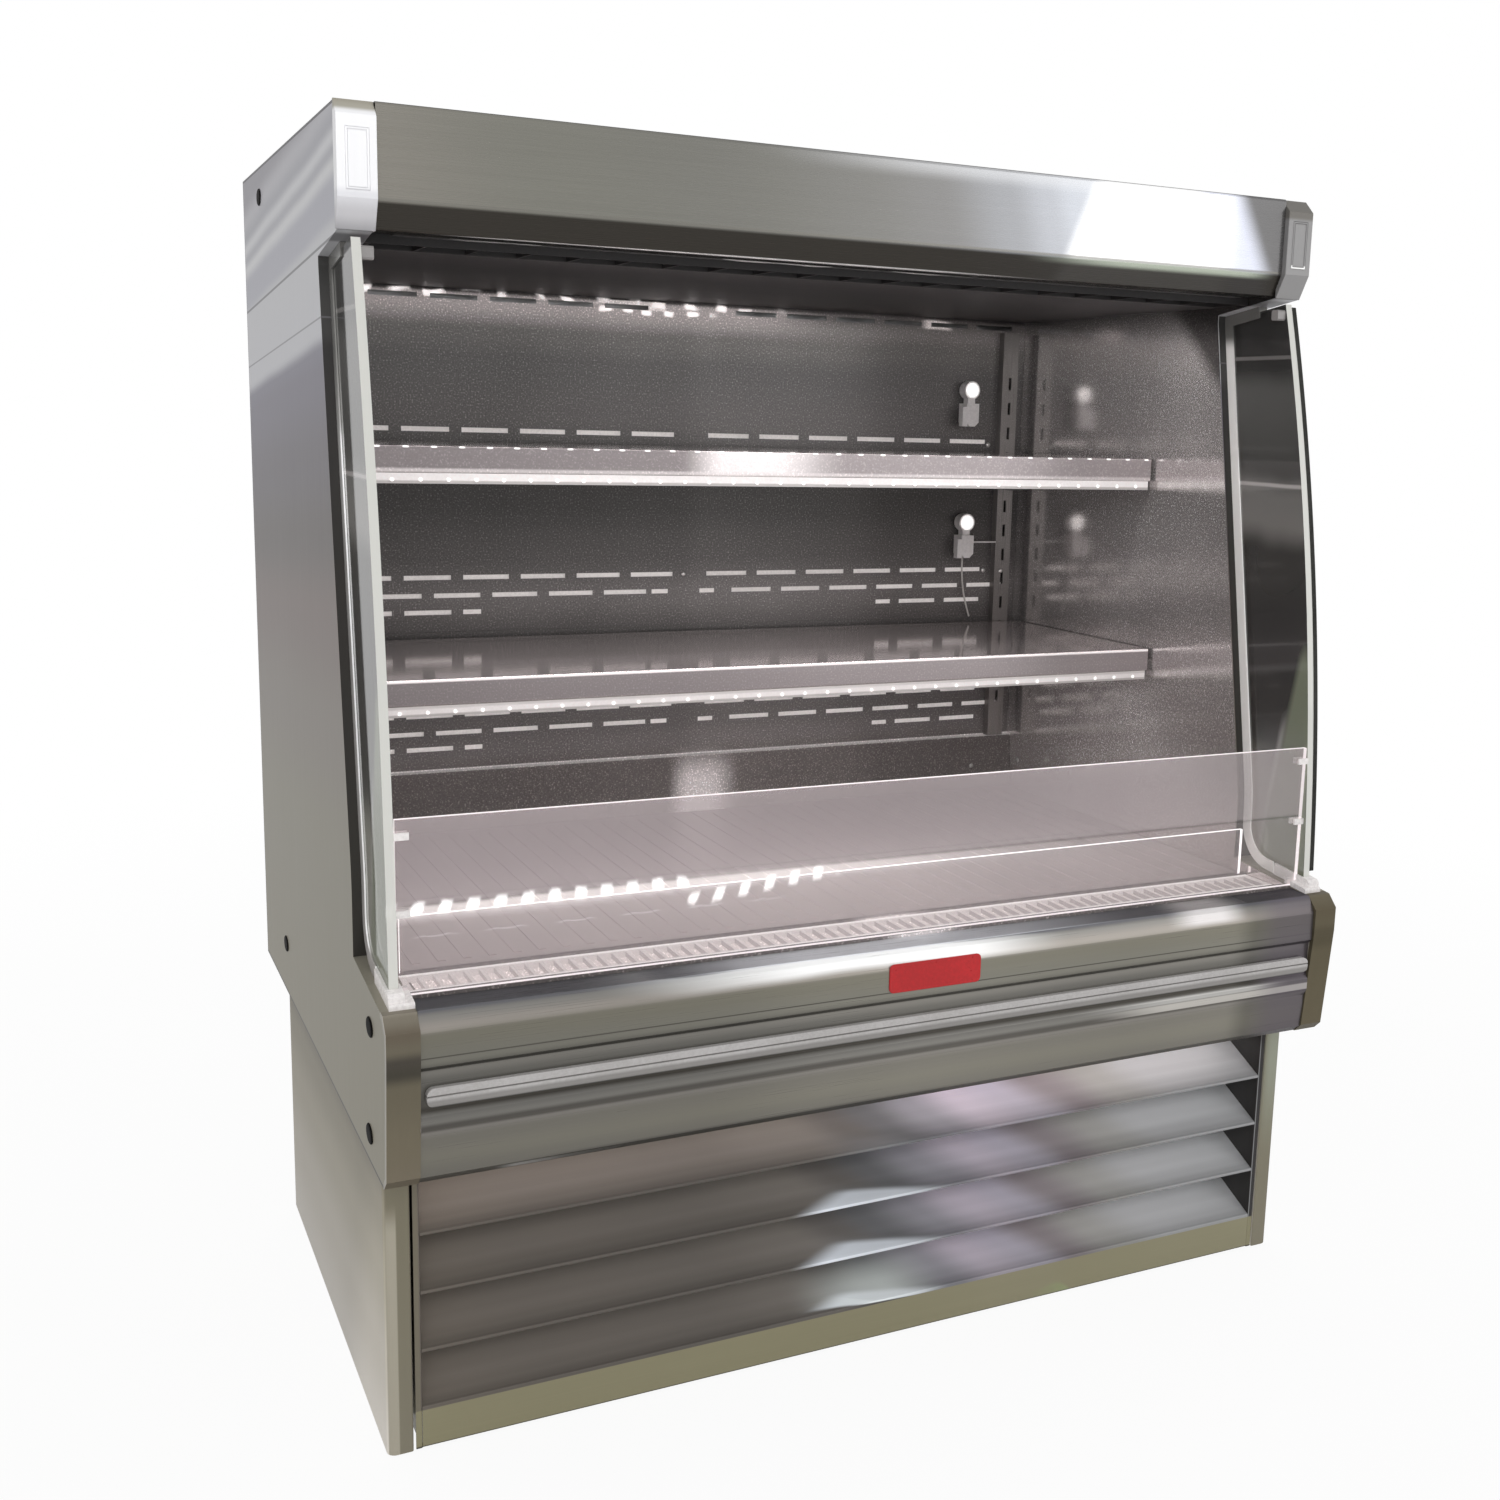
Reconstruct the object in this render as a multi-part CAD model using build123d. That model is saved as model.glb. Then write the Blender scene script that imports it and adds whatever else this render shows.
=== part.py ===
from build123d import *
import os
from math import atan, cos, degrees, pi, radians, tan

# Open multideck display fridge.
# X runs from left to right, the front faces -Y, Z is up, and the origin is on the floor
# under the middle of the cabinet. Profiles are drawn as (depth, height): depth is measured
# back from the frontmost face of the apron caps, height up from the floor. Sizes are in mm.

# Whole cabinet
overall_width = 1295.0
overall_depth = 900.0
overall_height = 1486.0
cabinet_bottom = 352.0
sheet = 1.5
fit_gap = 0.3
slide_gap = 1.5
round_sides = 16
mouth_sides = 24
pipe_sides = 6

# End panels
canopy_cap_proud = 2.0
end_thickness = 36.5
cap_thickness = 6.0
apron_cap_reach = 26.0
apron_lean = 12.0
apron_cap_drop = 17.0
shoulder_front_height = 549.0
shoulder_rise = 16.0
shoulder_depth = 174.0
lean_start_rise = 90.0
lean_top_depth = 288.0
lean_top_drop = 10.0
nose_drop = 18.0
canopy_drop = 130.0
canopy_front_depth = 150.0
canopy_cap_depth = 18.0
canopy_cap_wall = 2.5
canopy_bevel_height = 31.0
canopy_top_bevel = 16.0
lean_blend_radius = 250.0

# Insulated body
wall_insulation = 50.0
top_insulation = 58.0
tub_floor_thickness = 50.0
tub_front_depth = 24.0
tub_end_wall = 19.0
nose_top_drop = 0.2
nose_rear_depth = 80.0
grille_ledge = 10.0
deck_seat_drop = 8.8
ceiling_drop = 6.0
ceiling_front_depth = 290.0
top_panel_front_depth = 190.0

# Rear wall
rear_duct_depth = 50.0
rear_seam_rise = 8.0
rear_bottom_rise = 98.0
plenum_step = 12.0
slot_length = 70.0
slot_height = 7.0
slot_pitch = 88.0
centre_bridge = 57.0
short_slot = 27.0
top_slots_drop = 12.0
upper_slots_rise = 17.0
lower_slots_rises = (89.0, 62.0, 37.0)
deck_slots_rises = (84.0, 57.0, 33.0)

# Canopy
fascia_depth = 158.0
fascia_bevel_depth = 172.0
fascia_lip_depth = 206.0
fascia_lip_height = 18.0
fascia_top_flange = 92.0
fascia_bend = 4.0
canopy_lamp_depth = 20.0
canopy_lamp_height = 18.0
comb_pitch = 60.0
comb_web = 3.0
comb_height = 18.0

# Apron
apron_sheet = 1.2
apron_face_depth = 4.0
apron_recess = 6.0
apron_top_rear_depth = 53.0
apron_top_edge_depth = 16.0
apron_bevel_height = 22.0
apron_return_depth = 60.0
recess_bottom_share = 0.447
recess_top_share = 0.671
bumper_height = 21.0
bumper_rise = 15.5
bumper_proud = 2.5
bumper_end_gap = 6.0

# Glass
side_glass_thickness = 10.0
side_glass_centre = 18.0
glass_foot_depth = 43.0
glass_middle_depth = 81.0
glass_middle_drop = 378.0
glass_top_depth = 166.0
glass_corner_radius = 60.0
trim_width = 14.0
trim_band = 16.0
trim_grip = 9.0
trim_foot_depth = 100.0
trim_top_depth = 236.0
front_glass_thickness = 6.0
front_glass_depth = 55.0
front_glass_rise = 208.0
shoe_height = 16.0
shoe_front_depth = 28.0
shoe_block_height = 8.0
clip_drops = (103.0, 18.0)
clip_length = 16.0
clip_height = 8.0
clip_wall = 3.0

# Deck
grille_front_gap = 4.0
return_grille_depth = 62.0
return_grille_height = 6.0
grille_hole_pitch = 17.6
grille_hole_length = 42.0
grille_bar = 4.5
rail_front_depth = 142.0
rail_depth = 18.0
rail_height = 40.0
stop_depth = 148.5
stop_thickness = 5.0
stop_height = 73.0
stop_end_gap = 10.0
stop_fin = 1.2
stop_fin_height = 8.0
pan_height = 5.0
pan_rib_pitch = 30.0
pan_rib_width = 9.0
pan_rib_height = 1.2
pan_rib_margin = 26.0
pan_ledge = 20.0

# Shelves
standard_width = 30.0
standard_thickness = 2.0
standard_projection = 14.0
standard_wall_gap = 19.5
standard_slot_pitch = 41.4
standard_slot_width = 5.0
standard_slot_height = 20.0
standard_top_drop = 20.0
shelf_front_band = 34.0
upper_shelf_drop = 219.0
shelf_steps = 7
upper_shelf_front = 420.0
lower_shelf_front = 400.0
shelf_end_gap = 5.0
shelf_rear_gap = 2.0
bracket_thickness = 3.0
bracket_height = 62.0
bracket_foot = 3.0
bracket_nose_height = 20.0
hook_neck_height = 9.0
hook_drop = 6.0
hook_depth = 4.0
lamp_height = 13.0
lamp_depth = 20.0
socket_standard_gap = 78.5
socket_width = 24.0
socket_depth = 26.0
socket_height = 46.0
lead_radius = 1.5
upper_socket_rise = 65.0
lower_socket_rise = 133.8

# Evaporator
evaporator_front_depth = 430.0
evaporator_depth = 200.0
evaporator_height = 105.0
evaporator_width = 1000.0
evaporator_fin_pitch = 90.0
evaporator_fan_plate_depth = 300.0
evaporator_fan_spacing = 560.0
evaporator_fan_radius = 58.0
evaporator_fan_gap = 4.0
evaporator_motor_radius = 27.0
evaporator_motor_length = 44.0
evaporator_bridge_gap = 24.0
fan_shaft_radius = 4.0
bearing_gap = 0.05

# Base
base_side_inset = 11.0
base_front_depth = 77.0
base_rear_inset = 150.0
base_floor_gap = 2.0
post_width = 29.0
post_return = 15.0
post_corner_radius = 10.0
frame_tube = 30.0
frame_front_depth = 151.5
louvre_edge = 42.5
louvre_border = 7.5
louvre_depth = 69.0
louvre_rise = 32.0
louvre_pitch = 71.0
louvre_lowest = 50.0
louvre_count = 4
louvre_lip = 4.0
louvre_hem = 8.0
louvre_top_gap = 6.0
louvre_flange = 8.5
rear_slot_length = 200.0
rear_slot_height = 12.0
rear_slot_pitch = 260.0
rear_slot_rise = 56.0

# Condensing unit
condenser_front_depth = 190.0
condenser_depth = 60.0
condenser_width = 420.0
condenser_height = 260.0
condenser_centre = -180.0
condenser_fin_pitch = 42.0
condenser_fan_radius = 118.0
condenser_fan_gap = 6.0
condenser_motor_radius = 42.0
condenser_motor_length = 80.0
shroud_depth = 45.0
compressor_radius = 88.0
compressor_height = 190.0
compressor_foot_height = 8.0
stub_height = 6.0
compressor_x = 240.0
compressor_depth_position = 470.0
pipe_radius = 5.0
pipe_bend = 18.0
bend_middle = 0.29
line_rise = 40.0
cover_width = 62.0
cover_depth = 26.0
cover_height = 48.0
liquid_line_reach = 90.0
pan_width = 320.0
pan_depth = 210.0
pan_side_gap = 86.0
pan_rear_gap = 60.0
pan_wall_height = 60.0
pan_corner = 20.0
pan_wall = 2.5

# Control box
control_side_gap = 165.0
control_width = 130.0
control_depth = 70.0
control_height = 150.0
control_front_depth = 190.0
rocker_width = 14.0
rocker_height = 26.0
rocker_depth = 10.0
rocker_pin_radius = 2.0
rocker_tilt = 8.0
rocker_proud = 4.0
rocker_end_gap = 1.0

# Heights and depths that follow from those above
apron_cap_corner = shoulder_front_height - apron_cap_drop
shoulder_rear_height = shoulder_front_height + shoulder_rise
lean_start_height = shoulder_rear_height + lean_start_rise
canopy_bottom_height = overall_height - canopy_drop
nose_height = canopy_bottom_height - nose_drop
lean_top_height = nose_height - lean_top_drop
ceiling_height = canopy_bottom_height - ceiling_drop
nose_top_height = shoulder_front_height - nose_top_drop
deck_seat_height = nose_top_height - deck_seat_drop
apron_height = nose_top_height - cabinet_bottom
recess_bottom_height = cabinet_bottom + recess_bottom_share * apron_height
recess_top_height = cabinet_bottom + recess_top_share * apron_height
bumper_centre_height = recess_bottom_height + bumper_rise
glass_middle_height = nose_height - glass_middle_drop
front_glass_top = deck_seat_height + front_glass_rise
standard_top_height = ceiling_height - standard_top_drop
upper_shelf_height = ceiling_height - upper_shelf_drop
lower_shelf_height = upper_shelf_height - shelf_steps * standard_slot_pitch
upper_socket_height = upper_shelf_height + upper_socket_rise
lower_socket_height = lower_shelf_height + lower_socket_rise
rear_seam_height = lower_shelf_height + rear_seam_rise
rear_bottom_height = deck_seat_height + rear_bottom_rise
rear_panel_depth = overall_depth - wall_insulation - rear_duct_depth
base_rear_depth = overall_depth - base_rear_inset

# Other values that follow
front_y = -overall_depth / 2
half_width = overall_width / 2
end_outer_x = half_width - canopy_cap_proud
inner_x = end_outer_x - end_thickness
top_under_skin = overall_height - sheet
tub_rear_depth = overall_depth - wall_insulation
tub_floor = cabinet_bottom + tub_floor_thickness
plenum_depth = rear_panel_depth - plenum_step
grille_front_depth = nose_rear_depth + grille_front_gap
pan_front_depth = rail_front_depth + rail_depth - grille_front_gap
pan_rear_depth = plenum_depth - slide_gap
standard_x = inner_x - standard_wall_gap - standard_width / 2
standard_face_depth = rear_panel_depth - standard_projection
socket_x = standard_x - socket_standard_gap
frame_outer_x = half_width - base_side_inset - sheet
frame_rear_depth = base_rear_depth - 2 * sheet - slide_gap
control_x = frame_outer_x - control_side_gap


# Helpers

def section_at(x):
    """Plane across the cabinet at x, in which a profile reads (depth, height)."""
    return Plane(origin=(x, front_y, 0), x_dir=(0, 1, 0), z_dir=(1, 0, 0))


def between(profile, x_low, x_high):
    """Extrude a (depth, height) profile from x_low to x_high."""
    return extrude(section_at(x_low) * profile, x_high - x_low)


def polygon(*points):
    return make_face(Polyline(*points, close=True))


def folded(points, thickness, bend, left=True):
    """Section of a folded sheet whose thickness lies to the left or right of its outer line."""
    start, end = Vector(*points[0]), Vector(*points[1])
    run = end - start
    across = Vector(-run.Y, run.X) * (thickness / 2 / run.length)
    probe = (start + end) * 0.5 + across * (1 if left else -1)
    path = FilletPolyline(*points, radius=bend)
    sections = [
        make_face(offset(path, thickness, side=side)) for side in (Side.LEFT, Side.RIGHT)
    ]
    return next(found for found in sections if found.faces()[0].is_inside(probe))


def block(x_low, x_high, depth_low, depth_high, z_low, z_high):
    size = (x_high - x_low, depth_high - depth_low, z_high - z_low)
    corner = (x_low, front_y + depth_low, z_low)
    return Pos(*corner) * Box(*size, align=(Align.MIN, Align.MIN, Align.MIN))


def disc_along_depth(x, depth, z, radius, length, sides=0):
    """Round bar that runs back from depth, centred on x and z; sides makes it a prism."""
    plane = Plane(origin=(x, front_y + depth, z), x_dir=(1, 0, 0), z_dir=(0, 1, 0))
    section = RegularPolygon(radius, sides) if sides else Circle(radius)
    return extrude(plane * section, length)


def swept(path, radius):
    """Tube or lead along a path; its section is a polygon with many sides."""
    return sweep(Plane(path @ 0, z_dir=path % 0) * RegularPolygon(radius, pipe_sides), path)


def mirrored(shape):
    return mirror(shape, about=Plane.YZ)


def repeated(locations, shape):
    """Sketch with a shape at each of several locations."""
    return Sketch() + [place * shape for place in locations]


def shoulder_height(depth):
    """Height of the sloping shoulder of the end panel at a depth."""
    run = shoulder_depth - canopy_top_bevel
    rise = shoulder_rear_height - shoulder_front_height
    return shoulder_front_height + rise * (depth - canopy_top_bevel) / run


# End panels

def end_silhouette():
    """Side view of an end, its canopy cap and its apron cap included."""
    bottom_corner = apron_lean + 2 * cap_thickness
    points = [
        (overall_depth, cabinet_bottom),
        (bottom_corner, cabinet_bottom),
        (apron_lean, cabinet_bottom + apron_lean),
        (0, apron_cap_corner - canopy_bevel_height),
        (0, apron_cap_corner),
        (canopy_top_bevel, shoulder_front_height),
        (shoulder_depth, shoulder_rear_height),
        (shoulder_depth, lean_start_height),
        (lean_top_depth, lean_top_height),
        (lean_top_depth, nose_height),
        (canopy_front_depth + canopy_top_bevel, canopy_bottom_height),
        (canopy_front_depth, canopy_bottom_height + canopy_bevel_height),
        (canopy_front_depth, overall_height - canopy_top_bevel),
        (canopy_front_depth + canopy_top_bevel, overall_height),
        (overall_depth, overall_height),
    ]
    face = polygon(*points)
    lean_corner = face.vertices().sort_by_distance((shoulder_depth, lean_start_height))[0]
    return fillet(lean_corner, lean_blend_radius)


def apron_cap_section():
    """The band of the silhouette that covers the front below the shoulder."""
    silhouette = end_silhouette()
    band = silhouette - offset(silhouette, -cap_thickness)
    height = shoulder_front_height + 3 - cabinet_bottom
    window = Pos(0, cabinet_bottom) * Rectangle(
        apron_cap_reach, height, align=(Align.MIN, Align.MIN)
    )
    return band & window


def canopy_cap_section():
    window = Pos(canopy_front_depth, nose_height) * Rectangle(
        canopy_cap_depth, overall_height, align=(Align.MIN, Align.MIN)
    )
    return end_silhouette() & window


def end_panel_section():
    return end_silhouette() - apron_cap_section() - canopy_cap_section()


def left_end_panel():
    """Outer skin: a tray whose rim is as wide as the end is thick."""
    section = end_panel_section()
    tray = between(section, -end_outer_x, -inner_x)
    hollow = between(offset(section, -sheet), -end_outer_x + sheet, -inner_x)
    return tray - hollow


def left_wall_liner():
    """Foam core with the inner steel wall, seated in the skin."""
    section = offset(end_panel_section(), -sheet - fit_gap / 2)
    return between(section, -end_outer_x + sheet, -inner_x)


def apron_cap_left():
    cap = between(apron_cap_section(), -end_outer_x, -inner_x)
    outer_edges = cap.edges().filter_by(Axis.Y, reverse=True).group_by(Axis.X)[0]
    front_edges = outer_edges.filter_by(lambda e: e.center().Y < front_y + cap_thickness / 2)
    return chamfer(front_edges, 1)


def canopy_cap_left():
    """Moulded cap, hollow behind, with a raised border on its face."""
    inner_end = -inner_x + 3
    section = canopy_cap_section()
    shell = between(section, -half_width, inner_end)
    pocket_section = offset(section, -canopy_cap_wall)
    pocket_section += Pos(canopy_cap_wall + 1, 0) * pocket_section
    pocket = between(
        pocket_section, -half_width + canopy_cap_wall, inner_end - canopy_cap_wall
    )
    border_bottom = canopy_bottom_height + canopy_bevel_height + 8
    border = block(
        -half_width + 9, inner_end - 8, canopy_front_depth - 1, canopy_front_depth,
        border_bottom, border_bottom + 62,
    )
    inside = block(
        -half_width + 11.5, inner_end - 10.5, canopy_front_depth - 1, canopy_front_depth,
        border_bottom + 2.5, border_bottom + 59.5,
    )
    return shell - pocket + (border - inside)


# Insulated body

def insulated_tub():
    """Trough under the deck: foam floor, front nose, rear wall, end walls and cross rail."""
    trough = polygon(
        (tub_front_depth, cabinet_bottom + sheet + 10),
        (tub_front_depth + 10, cabinet_bottom + sheet),
        (tub_front_depth + 38, cabinet_bottom + sheet),
        (tub_front_depth + 38, cabinet_bottom),
        (overall_depth, cabinet_bottom),
        (overall_depth, nose_top_height),
        (tub_rear_depth, nose_top_height),
        (tub_rear_depth, tub_floor),
        (nose_rear_depth + grille_ledge, tub_floor),
        (nose_rear_depth + grille_ledge, deck_seat_height),
        (nose_rear_depth, deck_seat_height),
        (nose_rear_depth, nose_top_height),
        (tub_front_depth, nose_top_height),
    )
    tub = between(trough, -inner_x, inner_x)
    end_wall = block(
        inner_x - tub_end_wall, inner_x,
        nose_rear_depth + grille_ledge, tub_rear_depth, tub_floor, deck_seat_height,
    )
    rail = block(
        -inner_x, inner_x, rail_front_depth, rail_front_depth + rail_depth,
        deck_seat_height - rail_height, deck_seat_height,
    )
    fins = [
        block(
            -inner_x, inner_x, depth, depth + stop_fin,
            deck_seat_height, deck_seat_height + stop_fin_height,
        )
        for depth in (
            stop_depth - fit_gap - stop_fin,
            stop_depth + stop_thickness + fit_gap,
        )
    ]
    glass_seat = block(
        -inner_x, inner_x, front_glass_depth - 1, front_glass_depth + front_glass_thickness + 1,
        nose_top_height, glass_bottom_height() - fit_gap,
    )
    return tub + end_wall + mirrored(end_wall) + rail + fins + glass_seat


def back_panel():
    return block(
        -inner_x, inner_x, tub_rear_depth, overall_depth,
        nose_top_height, top_under_skin - top_insulation,
    )


def top_panel():
    return block(
        -inner_x, inner_x, top_panel_front_depth, overall_depth,
        top_under_skin - top_insulation, top_under_skin,
    )


def ceiling_panel():
    """Inner ceiling, turned up at the front, under the air duct."""
    section = folded(
        [
            (rear_panel_depth + sheet, ceiling_height),
            (ceiling_front_depth, ceiling_height),
            (ceiling_front_depth, ceiling_height + comb_height + 4),
        ],
        sheet, 3, left=False,
    )
    return between(section, -inner_x + fit_gap, inner_x - fit_gap)


def slot_row(height, first_offset, count):
    """Slots from the middle outwards, on both sides of it."""
    row = []
    for index in range(count):
        centre = first_offset + index * slot_pitch
        if centre + slot_length / 2 < inner_x - standard_wall_gap / 2:
            row += [(centre, height), (-centre, height)]
    return row


def cut_slots(panel, centres, length):
    plane = Plane(origin=(0, front_y + rear_panel_depth - 1, 0), x_dir=(1, 0, 0), z_dir=(0, -1, 0))
    slots = plane * repeated(Locations(*centres), Rectangle(length, slot_height))
    return panel - extrude(slots, -4)


def slot_rows():
    """Pattern and height of each row: full, offset by half a pitch, or at the ends only."""
    rows = [
        ("offset", ceiling_height - top_slots_drop),
        ("full", upper_shelf_height + upper_slots_rise),
    ]
    for start, rises in (
        (lower_shelf_height, lower_slots_rises), (rear_bottom_height, deck_slots_rises)
    ):
        rows += [(name, start + rise) for name, rise in zip(("full", "offset", "ends"), rises)]
    return rows


def rear_panel(bottom, top):
    """Slotted panel of the rear air duct between two heights."""
    panel = block(
        -inner_x + fit_gap, inner_x - fit_gap, rear_panel_depth, rear_panel_depth + sheet,
        bottom, top,
    )
    straight = (centre_bridge + slot_length) / 2
    staggered = straight + slot_pitch / 2
    per_side = int((inner_x - straight) / slot_pitch) + 1
    inward = straight + (per_side - 3) * slot_pitch + (slot_length - short_slot) / 2
    full, short = [], []
    for pattern, height in slot_rows():
        if not bottom < height < top:
            continue
        if pattern == "full":
            full += slot_row(height, straight, per_side)
        elif pattern == "offset":
            full += slot_row(height, staggered, per_side - 1)
        else:
            full += slot_row(height, straight, per_side)[-4:]
            short += [(inward, height), (-inward, height)]
    panel = cut_slots(panel, full, slot_length)
    return cut_slots(panel, short, short_slot) if short else panel


def rear_panel_upper():
    return rear_panel(rear_seam_height, ceiling_height)


def rear_panel_lower():
    return rear_panel(rear_bottom_height, rear_seam_height - fit_gap)


def plenum_cover():
    """Plate under the lower rear panel, with a top flange and the ledge of the deck pans."""
    upright = folded(
        [
            (rear_panel_depth - fit_gap, rear_bottom_height),
            (plenum_depth, rear_bottom_height),
            (plenum_depth, deck_seat_height),
        ],
        sheet, 2.5,
    )
    cover = between(upright, -inner_x + fit_gap, inner_x - fit_gap)
    ledge_end = inner_x - tub_end_wall - fit_gap
    ledge = block(
        -ledge_end, ledge_end, plenum_depth - pan_ledge, plenum_depth + sheet,
        deck_seat_height - sheet, deck_seat_height,
    )
    return cover + ledge


# Canopy

def canopy_fascia():
    section = folded(
        [
            (fascia_depth + fascia_top_flange, overall_height),
            (fascia_depth, overall_height),
            (fascia_depth, canopy_bottom_height + canopy_bevel_height),
            (fascia_bevel_depth, canopy_bottom_height + 2),
            (fascia_lip_depth, canopy_bottom_height + 2),
            (fascia_lip_depth, canopy_bottom_height + 2 + fascia_lip_height),
        ],
        sheet, fascia_bend,
    )
    end = inner_x - 3 - fit_gap
    return between(section, -end, end)


def canopy_lamp():
    """Lamp behind the lip of the fascia, with a rounded lens towards the shelves."""
    height = canopy_bottom_height + 2 + fascia_lip_height
    outline = polygon(
        (fascia_lip_depth, height),
        (fascia_lip_depth, height - canopy_lamp_height),
        (fascia_lip_depth + canopy_lamp_depth, height - canopy_lamp_height),
        (fascia_lip_depth + canopy_lamp_depth, height),
    )
    lens_corner = outline.vertices().sort_by_distance(
        (fascia_lip_depth + canopy_lamp_depth, height - canopy_lamp_height)
    )[0]
    return between(fillet(lens_corner, 7), -inner_x + 30, inner_x - 30)


def discharge_honeycomb():
    """Air straightener: a slab with a row of cells that blows the air curtain down."""
    depth_low = fascia_lip_depth + canopy_lamp_depth
    slab = block(
        -inner_x + fit_gap, inner_x - fit_gap, depth_low, ceiling_front_depth,
        ceiling_height, ceiling_height + comb_height,
    )
    across = int((2 * inner_x - 2 * comb_web) / comb_pitch)
    cell_depth = ceiling_front_depth - depth_low - 2 * comb_web
    middle = front_y + (depth_low + ceiling_front_depth) / 2
    cells = Pos(0, middle, ceiling_height) * repeated(
        GridLocations(comb_pitch, 1, across, 1), Rectangle(comb_pitch - comb_web, cell_depth)
    )
    return slab - extrude(cells, comb_height)


# Apron

def apron_line():
    """Front line of the apron, from its top rear edge round to the return under the tub."""
    top = nose_top_height + apron_sheet
    face = apron_face_depth
    recess = face + apron_recess
    lower = face + apron_recess + 2
    bevel_end = top - apron_bevel_height
    upper_ridge = top - 6
    lower_ridge = recess_bottom_height - 22
    return [
        (apron_top_rear_depth, top),
        (apron_top_edge_depth, top),
        (apron_top_edge_depth - 4, upper_ridge),
        (face, bevel_end),
        (face, recess_top_height + apron_recess),
        (recess, recess_top_height),
        (recess, recess_bottom_height),
        (face + 2, recess_bottom_height - 6),
        (face + 2, lower_ridge),
        (lower - 1, lower_ridge - 9),
        (lower - 1, lower_ridge - 20),
        (lower + 3, cabinet_bottom + 10),
        (lower + 14, cabinet_bottom),
        (apron_return_depth, cabinet_bottom),
    ]


def front_apron():
    """Folded front panel with its two ridges, the bumper recess and the lower return."""
    section = folded(apron_line(), apron_sheet, 2)
    return between(section, -inner_x + fit_gap, inner_x - fit_gap)


def bumper_strip():
    """Pale strip in the apron recess, grooved along its length, with rounded ends."""
    seat = apron_face_depth + apron_recess
    front = apron_face_depth - bumper_proud
    low = bumper_centre_height - bumper_height / 2
    high = bumper_centre_height + bumper_height / 2
    groove = bumper_centre_height + 2
    section = polygon(
        (seat, low), (front + 2, low), (front, low + 3), (front, groove - 1.2),
        (front + 1, groove), (front, groove + 1.2), (front, high - 3), (front + 2, high),
        (seat, high),
    )
    end = inner_x - bumper_end_gap
    strip = between(section, -end, end)
    corners = (strip.edges().filter_by(Axis.Y)
               .filter_by(lambda e: abs(abs(e.center().X) - end) < 0.1))
    return fillet(corners, bumper_height / 2 - 2.5)


# Glass

def glass_bottom_height():
    """The front glass stands clear of the shoulders of the end panels."""
    return shoulder_height(front_glass_depth + front_glass_thickness) + fit_gap


def glass_region(extra):
    """Opening in front of an end panel; its front arc stands extra further forward."""
    foot = (glass_foot_depth - extra, shoulder_height(glass_foot_depth - extra))
    rear = (shoulder_depth, shoulder_height(shoulder_depth))
    slope = (nose_height - canopy_bottom_height) / (
        lean_top_depth - canopy_front_depth - canopy_top_bevel
    )
    top_depth = glass_top_depth - extra
    top_height = nose_height - fit_gap + slope * (top_depth - lean_top_depth)
    outline = Polyline(
        foot, rear, (shoulder_depth, lean_start_height), (lean_top_depth, lean_top_height),
        (lean_top_depth, nose_height - fit_gap), (top_depth, top_height),
    )
    front_arc = ThreePointArc(
        (top_depth, top_height), (glass_middle_depth - extra, glass_middle_height), foot
    )
    face = make_face([outline, front_arc])
    lean_corner = face.vertices().sort_by_distance((shoulder_depth, lean_start_height))[0]
    face = fillet(lean_corner, lean_blend_radius)
    rear_corner = face.vertices().sort_by_distance(rear)[0]
    face = fillet(rear_corner, glass_corner_radius)
    top_corner = face.vertices().sort_by_distance((lean_top_depth, lean_top_height))[0]
    return fillet(top_corner, glass_corner_radius)


def side_glass_section(gap=0.0):
    """Pane outline; gap widens it for the slots that hold it."""
    setback = trim_band - trim_grip - gap
    return offset(glass_region(setback + gap), -setback)


def side_glass_left():
    low = -end_outer_x + side_glass_centre - side_glass_thickness / 2
    return between(side_glass_section(), low, low + side_glass_thickness)


def side_glass_slot():
    low = -end_outer_x + side_glass_centre - side_glass_thickness / 2 - fit_gap
    return between(side_glass_section(fit_gap), low, low + side_glass_thickness + 2 * fit_gap)


def glass_trim_left():
    """Bent edge channel: it follows the leaning edge and turns forward at both ends."""
    region = glass_region(0)
    band = region - offset(region, -trim_band)
    keep = polygon(
        (trim_foot_depth, shoulder_front_height - 10),
        (lean_top_depth + 10, shoulder_front_height - 10),
        (lean_top_depth + 10, overall_height),
        (trim_top_depth, overall_height),
    )
    low = -end_outer_x + side_glass_centre - trim_width / 2
    trim = between(band & keep, low, low + trim_width)
    return trim - side_glass_slot()


def front_glass_end():
    return end_outer_x - side_glass_centre - side_glass_thickness / 2 - slide_gap


def front_glass():
    end = front_glass_end()
    return block(
        -end, end, front_glass_depth, front_glass_depth + front_glass_thickness,
        glass_bottom_height(), front_glass_top,
    )


def front_glass_slot():
    end = front_glass_end() + fit_gap
    return block(
        -end, end, front_glass_depth - fit_gap,
        front_glass_depth + front_glass_thickness + fit_gap,
        glass_bottom_height(), front_glass_top,
    )


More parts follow.
